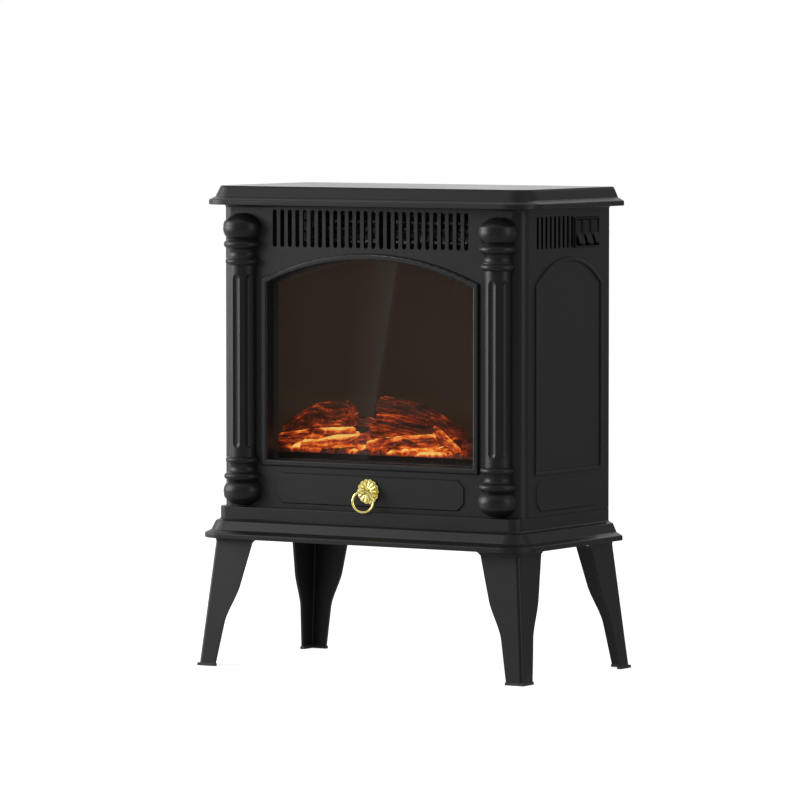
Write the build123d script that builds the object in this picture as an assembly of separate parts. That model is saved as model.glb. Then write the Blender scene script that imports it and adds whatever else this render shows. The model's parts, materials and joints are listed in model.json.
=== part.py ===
from build123d import *
import math
import os

# A compact electric fireplace heater in the shape of a cast stove.
# X runs to the viewer's right, Y runs back from the front, Z is up, all in millimetres.
# The origin is on the floor, under the middle of the whole outline.

# Cabinet
BODY_WIDTH = 376.0
BODY_DEPTH = 180.0
TOTAL_HEIGHT = 515.0
LEG_HEIGHT = 138.0
PLINTH_HEIGHT = 34.0
CORNICE_HEIGHT = 24.0
BODY_CORNER = 13.0
FRONT_WALL = 3.0
SIDE_SHEET = 1.6
BACK_SHEET = 1.4
SIDE_START = 15.0
FLANGE_WIDTH = 11.0
SLIP = 0.2

# Mouldings shared by the cornice and the base
NOSE_HEIGHT = 5.2
LEDGE_RISE = 3.6
STEP_RISE = 1.0
SLOPE_RISE = 8.3
LEDGE_RUN = 7.4
SLOPE_RUN = 4.4
CORNICE_OUT = 18.2
CORNICE_COVE = 3.8
CORNICE_WALL = 2.8
BASE_OUT = 17.2
PLINTH_STEP = 10.0
PLINTH_CORNER = 12.0
PLINTH_WALL = 2.5
PAN_SHEET = 1.5
PAN_MARGIN = 70.0
PAN_RIB = 5.0

# Legs
LEG_FRONT_SET = 0.0
LEG_SIDE_SET = 1.5
LEG_REAR_SET = 7.0
LEG_LEAN = 13.5
LEG_WALL = 3.0
LEG_CORNER = 4.0
LEG_TOP_WIDTH = 46.5
LEG_KNEE_WIDTH = 38.3
LEG_SHIN_WIDTH = 24.6
LEG_FOOT_WIDTH = 20.2
LEG_KNEE_SHARE = 0.638
LEG_SHIN_SHARE = 0.333
LEG_FLARE_HEIGHT = 4.6
LEG_FLARE_OUT = 5.0
LEG_TAB_SHEET = 3.0
PAD_HEIGHT = 3.0
PAD_MARGIN = 0.8

# Arched window, from the sides of the body, the deck and the cornice
WINDOW_SIDE = 59.5
WINDOW_LIFT = 51.5
WINDOW_DROP = 79.5
WINDOW_BOW = 2.51
BEAD_WIDTH = 7.2
BEAD_PROUD = 2.6
LIP_DEPTH = 12.0
LIP_WALL = 2.5
GASKET_DEPTH = 8.5
GASKET_WIDTH = 5.0
GLASS_THICK = 4.0
GLASS_LAP = 8.0
CLIP_THICK = 1.2
CLIP_REACH = 15.5
CLIP_BOSS_RADIUS = 4.0

# Air slots
FRONT_SLOTS = 26
FRONT_SLOT_SIDE = 68.5
FRONT_SLOT_WIDTH = 5.2
FRONT_SLOT_DROP = 0.6
FRONT_SLOT_LENGTH = 40.0
SIDE_SLOTS = 9
SIDE_SLOT_START = 31.1
SIDE_SLOT_GAP = 4.35
SIDE_SLOT_WIDTH = 4.4
SIDE_SLOT_DROP = 4.6
SIDE_SLOT_LENGTH = 34.4
BACK_SLOT_PITCH = 14.0
BACK_SLOT_WIDTH = 4.0
BACK_SLOT_LENGTH = 40.0

# Raised ornament
PANEL_RAISE = 1.3
PANEL_LIFT = 5.0
PANEL_HEIGHT = 33.0
PANEL_CHAMFER = 8.0
FRONT_PANEL_SIDE = 70.5
SIDE_PANEL_FRONT = 29.0
SIDE_PANEL_BACK = 18.0
SIDE_ARCH_FRONT = 26.0
SIDE_ARCH_BACK = 15.0
SIDE_ARCH_LIFT = 43.0
SIDE_ARCH_DROP = 77.0
SIDE_ARCH_BOW = 1.41
SIDE_BEAD_WIDTH = 4.4
SIDE_BEAD_PROUD = 1.8

# Half-round columns
COLUMN_INSET = 28.5
COLUMN_SHAFT = 15.0
COLUMN_BALL = 21.5
COLUMN_RING = 21.0
COLUMN_COLLAR = 19.3
COLUMN_DROP = 4.8
COLUMN_END = 55.9
COLUMN_FOOT_GAP = 0.6
COLUMN_FOOT_END = 52.8
FLUTE_MARGIN = 9.4
FLUTE_CUTTER = 8.0
FLUTE_DEPTH = 2.0
FLUTE_SPREAD = 58.0

# Ring pull
ROSETTE_LIFT = 21.7
ROSETTE_RADIUS = 13.4
ROSETTE_THICK = 4.2
ROSETTE_LOBES = 14
RING_RADIUS = 11.2
RING_WIRE = 1.3
RING_STANDOFF = 13.0
RING_LIFT = 22.6
RING_TURN = 18.0
EYE_RADIUS = 4.0
EYE_THICK = 3.6
EYE_FLARE = 1.4
POST_RADIUS = 2.2
NUT_RADIUS = 4.6
NUT_THICK = 3.2

# Rocker switches on the right side
SWITCH_COUNT = 3
SWITCH_PITCH = 17.1
SWITCH_INSET = 48.0
SWITCH_DROP = 23.2
BEZEL_WIDTH = 16.3
BEZEL_HEIGHT = 32.6
BEZEL_PROUD = 1.6
HOUSING_WIDTH = 14.2
HOUSING_HEIGHT = 30.4
HOUSING_DEPTH = 15.0
HOUSING_WALL = 1.1
ROCKER_GAP = 0.3
ROCKER_HALF = 12.8
ROCKER_DISH = 2.9
ROCKER_INSET = 2.0
ROCKER_BACK = 3.3
ROCKER_TILT = 12.0
ROCKER_PIN = 1.2
PIN_CLEARANCE = 0.06
TERMINAL_LENGTH = 8.0
TERMINAL_SPREAD = 7.0

# Firebox
FIRE_SHEET = 1.2
FIRE_SIDE = 34.0
FIRE_FRONT = 27.0
FIRE_REAR = 84.0
FIRE_DROP = 44.0
FIRE_FLANGE = 8.0
SCREEN_THICK = 3.0
APRON_LIFT = 58.0
BED_THICK = 2.6
BED_SLOPE = 0.25
BOARD_DEPTH = 55.0
BOARD_HALF_DEPTH = 11.0
BOARD_LIFT = 4.0
BOARD_SIDE = 76.0
LAMP_COUNT = 10

# Logs: each end's distance from the middle in a firebox of half this span,
# its depth and its height above the deck, then the two radii
LOG_SPAN = 154.0
LOGS = [
    ((-138, 62, 85), (-62, 60, 94), 12.0, 14.0),
    ((-24, 64, 110), (76, 66, 78), 11.5, 6.0),
    ((-20, 50, 92), (52, 54, 82), 9.0, 6.5),
    ((-140, 47, 71), (-48, 45, 79), 6.0, 6.0),
    ((-124, 39, 64), (-26, 38, 74), 7.0, 6.0),
    ((-27, 40, 66), (58, 41, 75), 7.5, 6.5),
    ((52, 46, 84), (88, 40, 64), 6.0, 4.5),
    ((-46, 52, 92), (-14, 56, 88), 5.0, 4.0),
]

# Flame mask and rotor
MASK_GAP = 4.8
MASK_SHEET = 0.8
MASK_LIFT = 160.0
MASK_SIDE = 60.0
MASK_FLAMES = 7
ROTOR_REAR = 52.0
ROTOR_LIFT = 42.0
SPINDLE_RADIUS = 2.5
FLAG_COUNT = 9
FLAG_LENGTH = 20.0
FLAG_REACH = 15.0
FLAG_SHEET = 0.6
FLAG_TURN = 40.0
BRACKET_SIDE = 48.0
BRACKET_SHEET = 1.5
BRACKET_HALF = 18.0
BRACKET_FOOT = 12.0
BUSH_RADIUS = 5.0
MOTOR_RADIUS = 24.0
MOTOR_THICK = 20.0

# Fan heater
DUCT_SIDE = 63.5
DUCT_SHEET = 0.8
DUCT_END = 56.0
WHEEL_SIDE = 88.0
WHEEL_RADIUS = 22.0
WHEEL_GAP = 4.0
WHEEL_DEPTH = 84.0
WHEEL_BLADES = 18
BLADE_SHEET = 0.8
BLADE_CHORD = 7.0
BLADE_LEAN = 1.6
SCROLL_RADIUS = 26.0
SCROLL_SHEET = 1.0
SHAFT_RADIUS = 2.5
RIBBON_DEPTH = 30.0
RIBBON_ROWS = 3
RIBBON_TEETH = 20
RIBBON_SHEET = 0.5
RIBBON_WIDTH = 5.0
RIBBON_SWING = 4.0
MICA = 1.2
CORE_THICK = 14.0
CORE_HALF = 26.0
CORE_TALL = 23.0
CUTOUT_X = 78.0

# Cord inlet and terminals
INLET_RADIUS = 7.5
INLET_BORE = 3.8
INLET_SIDE = 60.0
INLET_RISE = 24.0
BLOCK_LONG = 40.0
BLOCK_WIDE = 16.0
BLOCK_TALL = 15.0

# Screws
SCREW_RADIUS = 2.0
SCREW_HEAD = 3.8
SCREW_HEAD_THICK = 2.2
SCREW_HOLE = 2.3
TAPPED_HOLE = 2.03

# A cylinder or cone placed by its low or its high end
LOW_END = (Align.CENTER, Align.CENTER, Align.MIN)
HIGH_END = (Align.CENTER, Align.CENTER, Align.MAX)

# Places worked out from the sizes
HALF = BODY_WIDTH / 2
DECK = LEG_HEIGHT + PLINTH_HEIGHT
CORNICE_BOTTOM = TOTAL_HEIGHT - CORNICE_HEIGHT
FRONT_REACH = PLINTH_STEP + BASE_OUT
REAR_REACH = LEG_REAR_SET + LEG_LEAN + PAD_MARGIN
FACE = FRONT_REACH - (FRONT_REACH + BODY_DEPTH + REAR_REACH) / 2
BACK = FACE + BODY_DEPTH
RISER = FACE - PLINTH_STEP
SIDE_INNER = HALF - SIDE_SHEET
BACK_INNER = BODY_DEPTH - BACK_SHEET
WINDOW_HALF = HALF - WINDOW_SIDE
WINDOW_BOTTOM = DECK + WINDOW_LIFT
WINDOW_SPRING = CORNICE_BOTTOM - WINDOW_DROP
WINDOW_RADIUS = WINDOW_HALF * WINDOW_BOW
GLASS_FRONT = LIP_DEPTH + GASKET_DEPTH
GLASS_BACK = GLASS_FRONT + GLASS_THICK
SWITCH_MIDDLE = BODY_DEPTH - SWITCH_INSET
SWITCH_Z = CORNICE_BOTTOM - SWITCH_DROP
COLUMN_X = HALF - COLUMN_INSET
COLUMN_TOP = CORNICE_BOTTOM - COLUMN_DROP
COLUMN_FOOT = DECK + COLUMN_FOOT_GAP
ROSETTE_Z = DECK + ROSETTE_LIFT
RING_PIVOT_Z = DECK + RING_LIFT
FIRE_HALF = HALF - FIRE_SIDE
FIRE_BACK = BODY_DEPTH - FIRE_REAR
FIRE_TOP = CORNICE_BOTTOM - FIRE_DROP
FIRE_ROOF = FIRE_TOP + FIRE_SHEET
APRON_TOP = DECK + APRON_LIFT
MASK_HALF = HALF - MASK_SIDE
MASK_DEPTH = FIRE_BACK + MASK_GAP
ROTOR_DEPTH = BODY_DEPTH - ROTOR_REAR
ROTOR_Z = DECK + ROTOR_LIFT
BRACKET_X = HALF - BRACKET_SIDE
DUCT_HALF = HALF - DUCT_SIDE
DUCT_TOP = CORNICE_BOTTOM - FRONT_SLOT_DROP
HOUSING_HALF = HALF - WHEEL_SIDE
WHEEL_HALF = HOUSING_HALF - WHEEL_GAP
WHEEL_Z = FIRE_ROOF + SCROLL_SHEET + SCROLL_RADIUS
INLET_X = HALF - INLET_SIDE


def block(x_range, depth_range, z_range):
    """Box between two X values, two depths behind the front face and two heights."""
    x0, x1 = x_range
    d0, d1 = depth_range
    z0, z1 = z_range
    centre = ((x0 + x1) / 2, FACE + (d0 + d1) / 2, (z0 + z1) / 2)
    return Pos(*centre) * Box(x1 - x0, d1 - d0, z1 - z0)


def both_sides(piece):
    """A piece and its mirror image on the other side of the heater."""
    return [piece, mirror(piece, Plane.YZ)]


def plan_face(half, front, back, corner):
    """Plan outline with its two front corners rounded and its back corners square."""
    plate = Pos(0, (front + back) / 2) * Rectangle(2 * half, back - front)
    return fillet(plate.vertices().group_by(Axis.Y)[0], corner)


def slab(half, front, back, corner, low, high):
    """Plan outline raised from one height to another."""
    return Pos(0, 0, low) * extrude(plan_face(half, front, back, corner), high - low)


def moulding(profile, front, corner):
    """Profile of offset and height, carried round both sides and the front."""
    path = FilletPolyline(
        (HALF, BACK), (HALF, front), (-HALF, front), (-HALF, BACK), radius=corner
    )
    return sweep(section_plane() * profile, path=path)


def section_plane():
    """Upright plane at the right rear end of the mouldings, X out and Y up."""
    return Plane(origin=(HALF, BACK, 0), x_dir=(1, 0, 0), z_dir=(0, -1, 0))


def nose_points(bottom, out):
    """Corners of the shared moulding, from its underside to the top of its slope."""
    nose_top = bottom + NOSE_HEIGHT
    ledge_top = nose_top + LEDGE_RISE
    step_top = ledge_top + STEP_RISE
    ledge_in = out - LEDGE_RUN
    return [
        (out, bottom),
        (out, nose_top),
        (ledge_in, ledge_top),
        (ledge_in - 0.4, step_top),
        (ledge_in - SLOPE_RUN, step_top + SLOPE_RISE),
    ]


def arch_face(half, bottom, spring, radius):
    """Upright outline with a shallow arch on top, drawn in X and Z."""
    apex = spring + radius - math.sqrt(radius**2 - half**2)
    sides = Polyline((-half, spring), (-half, bottom), (half, bottom), (half, spring))
    arch = ThreePointArc((half, spring), (0, apex), (-half, spring))
    return make_face([sides, arch])


def window_face(grow):
    """Window outline, larger all round by grow."""
    half = WINDOW_HALF + grow
    radius = WINDOW_RADIUS + grow
    centre = WINDOW_SPRING - math.sqrt(WINDOW_RADIUS**2 - WINDOW_HALF**2)
    spring = centre + math.sqrt(radius**2 - half**2)
    return arch_face(half, WINDOW_BOTTOM - grow, spring, radius)


def across(face, start, end):
    """Upright face carried from one depth behind the front to another."""
    placed = Pos(0, FACE + start, 0) * (Plane.XZ * face)
    return extrude(placed, end - start, dir=(0, 1, 0))


def octagon_face(left, right, bottom, top, chamfer_size):
    """Flat panel outline with its four corners cut off."""
    plate = Pos((left + right) / 2, (bottom + top) / 2) * Rectangle(right - left, top - bottom)
    return chamfer(plate.vertices(), chamfer_size)


def slot_row(count, pitch, width, top, length, centre):
    """Row of upright slots with round ends, drawn flat."""
    slot = SlotOverall(length, width, rotation=90)
    return [
        Pos(centre + (k - (count - 1) / 2) * pitch, top - length / 2) * slot
        for k in range(count)
    ]


def screw(length):
    """Pan-head screw standing on its head, with its shank up."""
    shank = Cylinder(SCREW_RADIUS, length, align=LOW_END)
    head = Cylinder(SCREW_HEAD, SCREW_HEAD_THICK, align=HIGH_END)
    head = chamfer(head.edges().group_by(Axis.Z)[0], SCREW_HEAD_THICK * 0.4)
    return shank + head


def top_plate():
    """Moulded top: a flat sheet with the hollow cornice moulding round three sides."""
    under = CORNICE_BOTTOM + CORNICE_COVE
    nose = nose_points(under, CORNICE_OUT)
    crown = (nose[-1][0] - 1.6, TOTAL_HEIGHT)
    outer = FilletPolyline(
        (0, CORNICE_BOTTOM), (0, under), *nose, crown,
        radius=[CORNICE_COVE * 0.9, 0.8, 2.0, 0.8, 0.3, 1.2],
    )
    wall = CORNICE_WALL
    ceiling = TOTAL_HEIGHT - wall
    floor = under + wall
    inner = Polyline(
        crown, (-FRONT_WALL, TOTAL_HEIGHT), (-FRONT_WALL, ceiling),
        (nose[-1][0] - wall, ceiling), (nose[2][0] - wall, nose[2][1]),
        (CORNICE_OUT - wall, nose[1][1]), (CORNICE_OUT - wall, floor),
        (-FRONT_WALL, floor), (-FRONT_WALL, under), (-FLANGE_WIDTH, under),
        (-FLANGE_WIDTH, CORNICE_BOTTOM), (0, CORNICE_BOTTOM),
    )
    rim = moulding(make_face([outer, inner]), FACE, BODY_CORNER)
    closing = Polyline(crown, (-FRONT_WALL, TOTAL_HEIGHT), (-FRONT_WALL, CORNICE_BOTTOM), (0, CORNICE_BOTTOM))
    end_face = section_plane() * make_face([outer, closing])
    caps = both_sides(extrude(end_face, wall))
    sheet = slab(HALF, FACE, BACK, BODY_CORNER, ceiling, TOTAL_HEIGHT)
    tail = block((-HALF, HALF), (BODY_DEPTH - wall, BODY_DEPTH), (CORNICE_BOTTOM, ceiling))
    holes = [Pos(x, y, CORNICE_BOTTOM) * Cylinder(TAPPED_HOLE, 8) for x, y in flange_screws()]
    return rim + caps + sheet + tail - holes


def flange_screws():
    """Plan places of the screws that hold the side panels, above and below."""
    x = SIDE_INNER - FLANGE_WIDTH / 2
    depths = (SIDE_START + 30, BODY_DEPTH / 2 + 8, BODY_DEPTH - 32)
    return [(side * x, FACE + depth) for side in (-1, 1) for depth in depths]


def front_panel():
    """Moulded front with its rounded corners, window, lip, bead, slots and raised panel."""
    inner_half = HALF - FRONT_WALL
    shell = slab(HALF, FACE, FACE + SIDE_START, BODY_CORNER, DECK, CORNICE_BOTTOM)
    hollow = slab(
        inner_half, FACE + FRONT_WALL, FACE + SIDE_START + 1, BODY_CORNER - FRONT_WALL,
        DECK, CORNICE_BOTTOM,
    )
    lip = across(window_face(LIP_WALL), 0, LIP_DEPTH)
    bead = across(window_face(BEAD_WIDTH), -BEAD_PROUD, 0)
    opening = across(window_face(0), -BEAD_PROUD, LIP_DEPTH)
    ring = bead - opening
    ring = fillet(ring.edges().group_by(Axis.Y)[0], BEAD_PROUD * 0.85)
    raised = octagon_face(
        FRONT_PANEL_SIDE - HALF, HALF - FRONT_PANEL_SIDE, DECK + PANEL_LIFT,
        DECK + PANEL_LIFT + PANEL_HEIGHT, PANEL_CHAMFER,
    )
    plate = across(raised, -PANEL_RAISE, 0)
    plate = chamfer(plate.edges().group_by(Axis.Y)[0], PANEL_RAISE * 0.8)
    pitch = 2 * (HALF - FRONT_SLOT_SIDE) / (FRONT_SLOTS - 1)
    slots = slot_row(FRONT_SLOTS, pitch, FRONT_SLOT_WIDTH, DUCT_TOP, FRONT_SLOT_LENGTH, 0)
    vents = [across(slot, -1, FRONT_WALL + 1) for slot in slots]
    bosses = [
        Pos(x, FACE + FRONT_WALL, z) * Rot(-90, 0, 0)
        * Cylinder(CLIP_BOSS_RADIUS, GLASS_BACK - FRONT_WALL, align=LOW_END)
        for x, z in clip_places()
    ]
    boss_holes = [
        Pos(x, FACE + GLASS_BACK, z) * Rot(-90, 0, 0) * Cylinder(SCREW_RADIUS - 0.5, 20)
        for x, z in clip_places()
    ]
    post_hole = Pos(0, FACE, ROSETTE_Z) * Rot(-90, 0, 0) * Cylinder(POST_RADIUS + SLIP, 20)
    panel = shell - hollow + lip - opening + ring + plate + bosses
    return panel - vents - boss_holes - post_hole


def clip_places():
    """X and Z of the bosses that the glass clips are screwed to."""
    heights = (WINDOW_BOTTOM + 30, WINDOW_SPRING - 35)
    return [(side * (WINDOW_HALF + CLIP_REACH), z) for side in (-1, 1) for z in heights]


def side_sheet():
    """Right side sheet with its joggled front tab, three flanges, slots and ornament."""
    sheet = block((SIDE_INNER, HALF), (SIDE_START, BODY_DEPTH), (DECK, CORNICE_BOTTOM))
    tab_out = HALF - FRONT_WALL
    tab_in = tab_out - SIDE_SHEET
    tab_rows = (DECK, CORNICE_BOTTOM - FLANGE_WIDTH)
    tab = block((tab_in, tab_out), (BODY_CORNER + SLIP, SIDE_START), tab_rows)
    joggle = block((tab_in, HALF), (SIDE_START, SIDE_START + SIDE_SHEET), tab_rows)
    flange_in = SIDE_INNER - FLANGE_WIDTH
    foot = block((flange_in, HALF), (SIDE_START + 12, BACK_INNER), (DECK, DECK + SIDE_SHEET))
    head = block(
        (flange_in, HALF), (SIDE_START + 12, BACK_INNER),
        (CORNICE_BOTTOM - SIDE_SHEET, CORNICE_BOTTOM),
    )
    rear = block(
        (flange_in, HALF), (BACK_INNER - SIDE_SHEET, BACK_INNER),
        (DECK, CORNICE_BOTTOM - SIDE_SHEET),
    )
    upright = Plane(origin=(HALF, FACE, 0), x_dir=(0, 1, 0), z_dir=(1, 0, 0))
    half = (BODY_DEPTH - SIDE_ARCH_FRONT - SIDE_ARCH_BACK) / 2
    arch = Pos(SIDE_ARCH_FRONT + half, 0) * arch_face(
        half, DECK + SIDE_ARCH_LIFT, CORNICE_BOTTOM - SIDE_ARCH_DROP, half * SIDE_ARCH_BOW
    )
    bead = extrude(upright * (arch - offset(arch, -SIDE_BEAD_WIDTH)), SIDE_BEAD_PROUD)
    bead = fillet(bead.edges().group_by(Axis.X)[-1], SIDE_BEAD_PROUD * 0.85)
    panel = octagon_face(
        SIDE_PANEL_FRONT, BODY_DEPTH - SIDE_PANEL_BACK, DECK + PANEL_LIFT,
        DECK + PANEL_LIFT + PANEL_HEIGHT, PANEL_CHAMFER,
    )
    plate = extrude(upright * panel, PANEL_RAISE)
    plate = chamfer(plate.edges().group_by(Axis.X)[-1], PANEL_RAISE * 0.8)
    slot_end = SWITCH_MIDDLE - SWITCH_COUNT / 2 * SWITCH_PITCH - SIDE_SLOT_GAP
    slots = slot_row(
        SIDE_SLOTS, (slot_end - SIDE_SLOT_START) / (SIDE_SLOTS - 1), SIDE_SLOT_WIDTH,
        CORNICE_BOTTOM - SIDE_SLOT_DROP, SIDE_SLOT_LENGTH, (slot_end + SIDE_SLOT_START) / 2,
    )
    vents = [extrude(upright * slot, -4 * SIDE_SHEET) for slot in slots]
    screws = [
        Pos(x, y, z) * Cylinder(SCREW_HOLE, 6)
        for x, y in flange_screws() if x > 0
        for z in (DECK, CORNICE_BOTTOM)
    ]
    rear_holes = [
        Pos(x, BACK, z) * Rot(-90, 0, 0) * Cylinder(TAPPED_HOLE, 12)
        for x, z in back_screw_places() if x > 0
    ]
    return sheet + tab + joggle + foot + head + rear + bead + plate - vents - screws - rear_holes


def side_panel_right():
    """Right side sheet with the three switch cut-outs."""
    cut_outs = [
        block(
            (SIDE_INNER - 1, HALF + 1),
            (depth - HOUSING_WIDTH / 2 - SLIP, depth + HOUSING_WIDTH / 2 + SLIP),
            (SWITCH_Z - HOUSING_HEIGHT / 2 - SLIP, SWITCH_Z + HOUSING_HEIGHT / 2 + SLIP),
        )
        for depth in switch_depths()
    ]
    return side_sheet() - cut_outs


def side_panel_left():
    """Left side sheet, with no switches."""
    return mirror(side_sheet(), Plane.YZ)


def back_screw_places():
    """X and Z of the screws round the back panel."""
    x = SIDE_INNER - FLANGE_WIDTH / 2
    heights = (DECK + 22, (DECK + CORNICE_BOTTOM) / 2, CORNICE_BOTTOM - 22)
    return [(side * x, z) for side in (-1, 1) for z in heights]


def back_panel():
    """Flat back sheet with two banks of air slots, screw holes and the cord inlet."""
    sheet = block(
        (-SIDE_INNER + SLIP, SIDE_INNER - SLIP), (BACK_INNER, BODY_DEPTH), (DECK, CORNICE_BOTTOM)
    )
    pitch, width, length = BACK_SLOT_PITCH, BACK_SLOT_WIDTH, BACK_SLOT_LENGTH
    upper = slot_row(14, pitch, width, CORNICE_BOTTOM - 14, length, 0)
    lower = slot_row(10, pitch, width, DECK + 26 + length, length, 0)
    vents = [across(slot, BACK_INNER - 1, BODY_DEPTH + 1) for slot in upper + lower]
    holes = [
        Pos(x, BACK, z) * Rot(-90, 0, 0) * Cylinder(SCREW_HOLE, 12)
        for x, z in back_screw_places()
    ]
    inlet = Pos(*cord_inlet()) * Rot(-90, 0, 0) * Cylinder(INLET_RADIUS, 12)
    return sheet - vents - holes - inlet


def cord_inlet():
    """Centre of the cord inlet in the back panel."""
    return (INLET_X, BACK, DECK + INLET_RISE)


def cord_bushing():
    """Flanged bush in the back panel that the mains cord would pass through."""
    sleeve = Cylinder(INLET_RADIUS - SLIP, 9, align=HIGH_END)
    flange = Cylinder(INLET_RADIUS + 3, 2.5, align=LOW_END)
    flange = fillet(flange.edges().group_by(Axis.Z)[-1], 1.0)
    collar = Pos(0, 0, 2.5) * Cone(
        INLET_BORE + 2.6, INLET_BORE + 1.6, 5, align=LOW_END
    )
    bore = Cylinder(INLET_BORE, 40)
    return Pos(*cord_inlet()) * Rot(-90, 0, 0) * (sleeve + flange + collar - bore)


def base_plinth():
    """Moulded base: deck, riser and the flared moulding, hollow underneath."""
    nose = nose_points(LEG_HEIGHT, BASE_OUT)
    shoulder = nose[-1][1] + 1.6
    outer = FilletPolyline(
        (-6.0, LEG_HEIGHT), *nose, (1.4, shoulder), (-0.2, shoulder + 1.6),
        radius=[0.8, 2.0, 0.8, 0.3, 1.2, 0.9],
    )
    inner = Polyline((-0.2, shoulder + 1.6), (-6.0, shoulder + 1.6), (-6.0, LEG_HEIGHT))
    rim = moulding(make_face([outer, inner]), RISER, PLINTH_CORNER)
    core = slab(HALF, RISER, BACK, PLINTH_CORNER, LEG_HEIGHT, DECK)
    core = fillet(core.edges().group_by(Axis.Z)[-1].sort_by(Axis.Y)[:-1], 1.2)
    wall = PLINTH_WALL
    back = BACK - wall
    low = nose[1][1]
    mid = nose[-1][1] - wall
    chamber = slab(HALF - wall, RISER + wall, back, PLINTH_CORNER - wall, LEG_HEIGHT, DECK - wall)
    skirt = slab(HALF + wall, RISER - wall, back, PLINTH_CORNER + wall, LEG_HEIGHT, mid)
    pan_seat = slab(
        HALF + BASE_OUT - wall, RISER - BASE_OUT + wall, back,
        PLINTH_CORNER + BASE_OUT - wall, LEG_HEIGHT, low - 1.0,
    )
    holes = [Pos(x, y, DECK) * Cylinder(TAPPED_HOLE, 12) for x, y in flange_screws()]
    return core + rim - chamber - skirt - pan_seat - holes


def base_pan():
    """Steel sheet that closes the base and carries the legs."""
    grow = BASE_OUT - PLINTH_WALL - SLIP
    sheet = slab(
        HALF + grow, RISER - grow, BACK - PLINTH_WALL - SLIP, PLINTH_CORNER + grow,
        LEG_HEIGHT, LEG_HEIGHT + PAN_SHEET,
    )
    margin = PAN_MARGIN
    high = LEG_HEIGHT + PAN_RIB
    rib = slab(HALF - margin, RISER + margin, BACK - margin / 2, 10, LEG_HEIGHT, high)
    inset = margin + PAN_SHEET
    recess = slab(
        HALF - inset, RISER + inset, BACK - margin / 2 - PAN_SHEET, 10 - PAN_SHEET,
        LEG_HEIGHT, high - PAN_SHEET,
    )
    holes = [
        Pos(x, y, LEG_HEIGHT) * Cylinder(TAPPED_HOLE, 4 * PAN_SHEET) for x, y in leg_screw_places()
    ]
    return sheet + rib - recess - holes


def leg_square(height, shift, grow):
    """Square in plan whose outer corner is the leg's corner at one height."""
    lean = LEG_LEAN * (LEG_HEIGHT - height) / LEG_HEIGHT
    side = LEG_TOP_WIDTH + 20
    out = lean + grow - shift
    middle = out - side / 2
    square = Pos(middle, -middle) * Rectangle(side, side)
    corner = square.vertices().sort_by(Axis.X)[-2:].sort_by(Axis.Y)[0]
    rounded = fillet(corner, LEG_CORNER + grow - min(shift, LEG_CORNER - 1.0))
    return Pos(0, 0, height) * rounded


def leg_trim():
    """Region cut from a leg plate so that it narrows down to the foot."""

    def edge(height, width):
        lean = LEG_LEAN * (LEG_HEIGHT - height) / LEG_HEIGHT
        return (lean - width, height)

    far = -LEG_TOP_WIDTH - 40
    top = LEG_HEIGHT - 5.0
    flare = edge(LEG_HEIGHT, LEG_TOP_WIDTH + 5.5)
    knee_height = LEG_HEIGHT * LEG_KNEE_SHARE
    shin_height = LEG_HEIGHT * LEG_SHIN_SHARE
    knee = edge(knee_height, LEG_KNEE_WIDTH)
    shin = edge(shin_height, LEG_SHIN_WIDTH)
    above = edge(knee_height - 13, LEG_KNEE_WIDTH - 2.0)
    below = edge(shin_height + 13, LEG_SHIN_WIDTH + 1.0)
    neck = ThreePointArc(flare, edge(top + 1.4, LEG_TOP_WIDTH + 1.4), edge(top, LEG_TOP_WIDTH))
    thigh = Line(edge(top, LEG_TOP_WIDTH), knee)
    calf = Bezier(knee, above, below, shin)
    foot = Line(shin, edge(0, LEG_FOOT_WIDTH))
    outside = Polyline(edge(0, LEG_FOOT_WIDTH), (far, 0), (far, LEG_HEIGHT), flare)
    face = make_face([neck, thigh, calf, foot, outside])
    return extrude(Plane.XZ * face, 120, both=True)


def leg():
    """Cast angle leg with its corner at the origin in plan, leaning out both ways."""
    flare_low = LEG_HEIGHT - LEG_FLARE_HEIGHT
    cove = [(0.0, 0.0), (0.5, 0.16), (0.8, 0.46), (1.0, 1.0)]
    outer = loft(
        [leg_square(0, 0, 0)]
        + [leg_square(flare_low + LEG_FLARE_HEIGHT * up, 0, LEG_FLARE_OUT * out) for up, out in cove],
        ruled=True,
    )
    inner = loft([leg_square(-1, LEG_WALL, 0), leg_square(LEG_HEIGHT + 1, LEG_WALL, 0)], ruled=True)
    trim = leg_trim()
    across_trim = Rot(0, 0, 90) * mirror(trim, Plane.YZ)
    shell = outer - inner - trim - across_trim
    tab_side = LEG_TOP_WIDTH - 6
    tab = Pos(-tab_side / 2 - 1, tab_side / 2 + 1, LEG_HEIGHT - LEG_TAB_SHEET / 2) * Box(
        tab_side, tab_side, LEG_TAB_SHEET
    )
    far_corner = tab.edges().filter_by(Axis.Z).sort_by(Axis.X)[:2].sort_by(Axis.Y)[-1]
    tab = chamfer(far_corner, tab_side * 0.4)
    holes = [Pos(x, y, LEG_HEIGHT) * Cylinder(SCREW_HOLE, 20) for x, y in leg_holes()]
    reach = 4 * LEG_TOP_WIDTH
    pad_room = Pos(0, 0, PAD_HEIGHT / 2) * Box(reach, reach, PAD_HEIGHT)
    return shell + tab - holes - pad_room


def rear_leg():
    """Leg whose cove is trimmed flush behind, where there is no moulding above it."""
    room = 2 * LEG_FLARE_HEIGHT
    lean = LEG_LEAN * LEG_FLARE_HEIGHT / LEG_HEIGHT
    behind = Pos(0, -room / 2 - lean, LEG_HEIGHT) * Box(4 * LEG_TOP_WIDTH, room, room)
    return leg() - behind


def leg_holes():
    """Screw places in a leg's tab, from the leg's corner."""
    near = LEG_WALL + 9
    far = LEG_TOP_WIDTH - 16
    return [(-near, far), (-far, near)]


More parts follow.
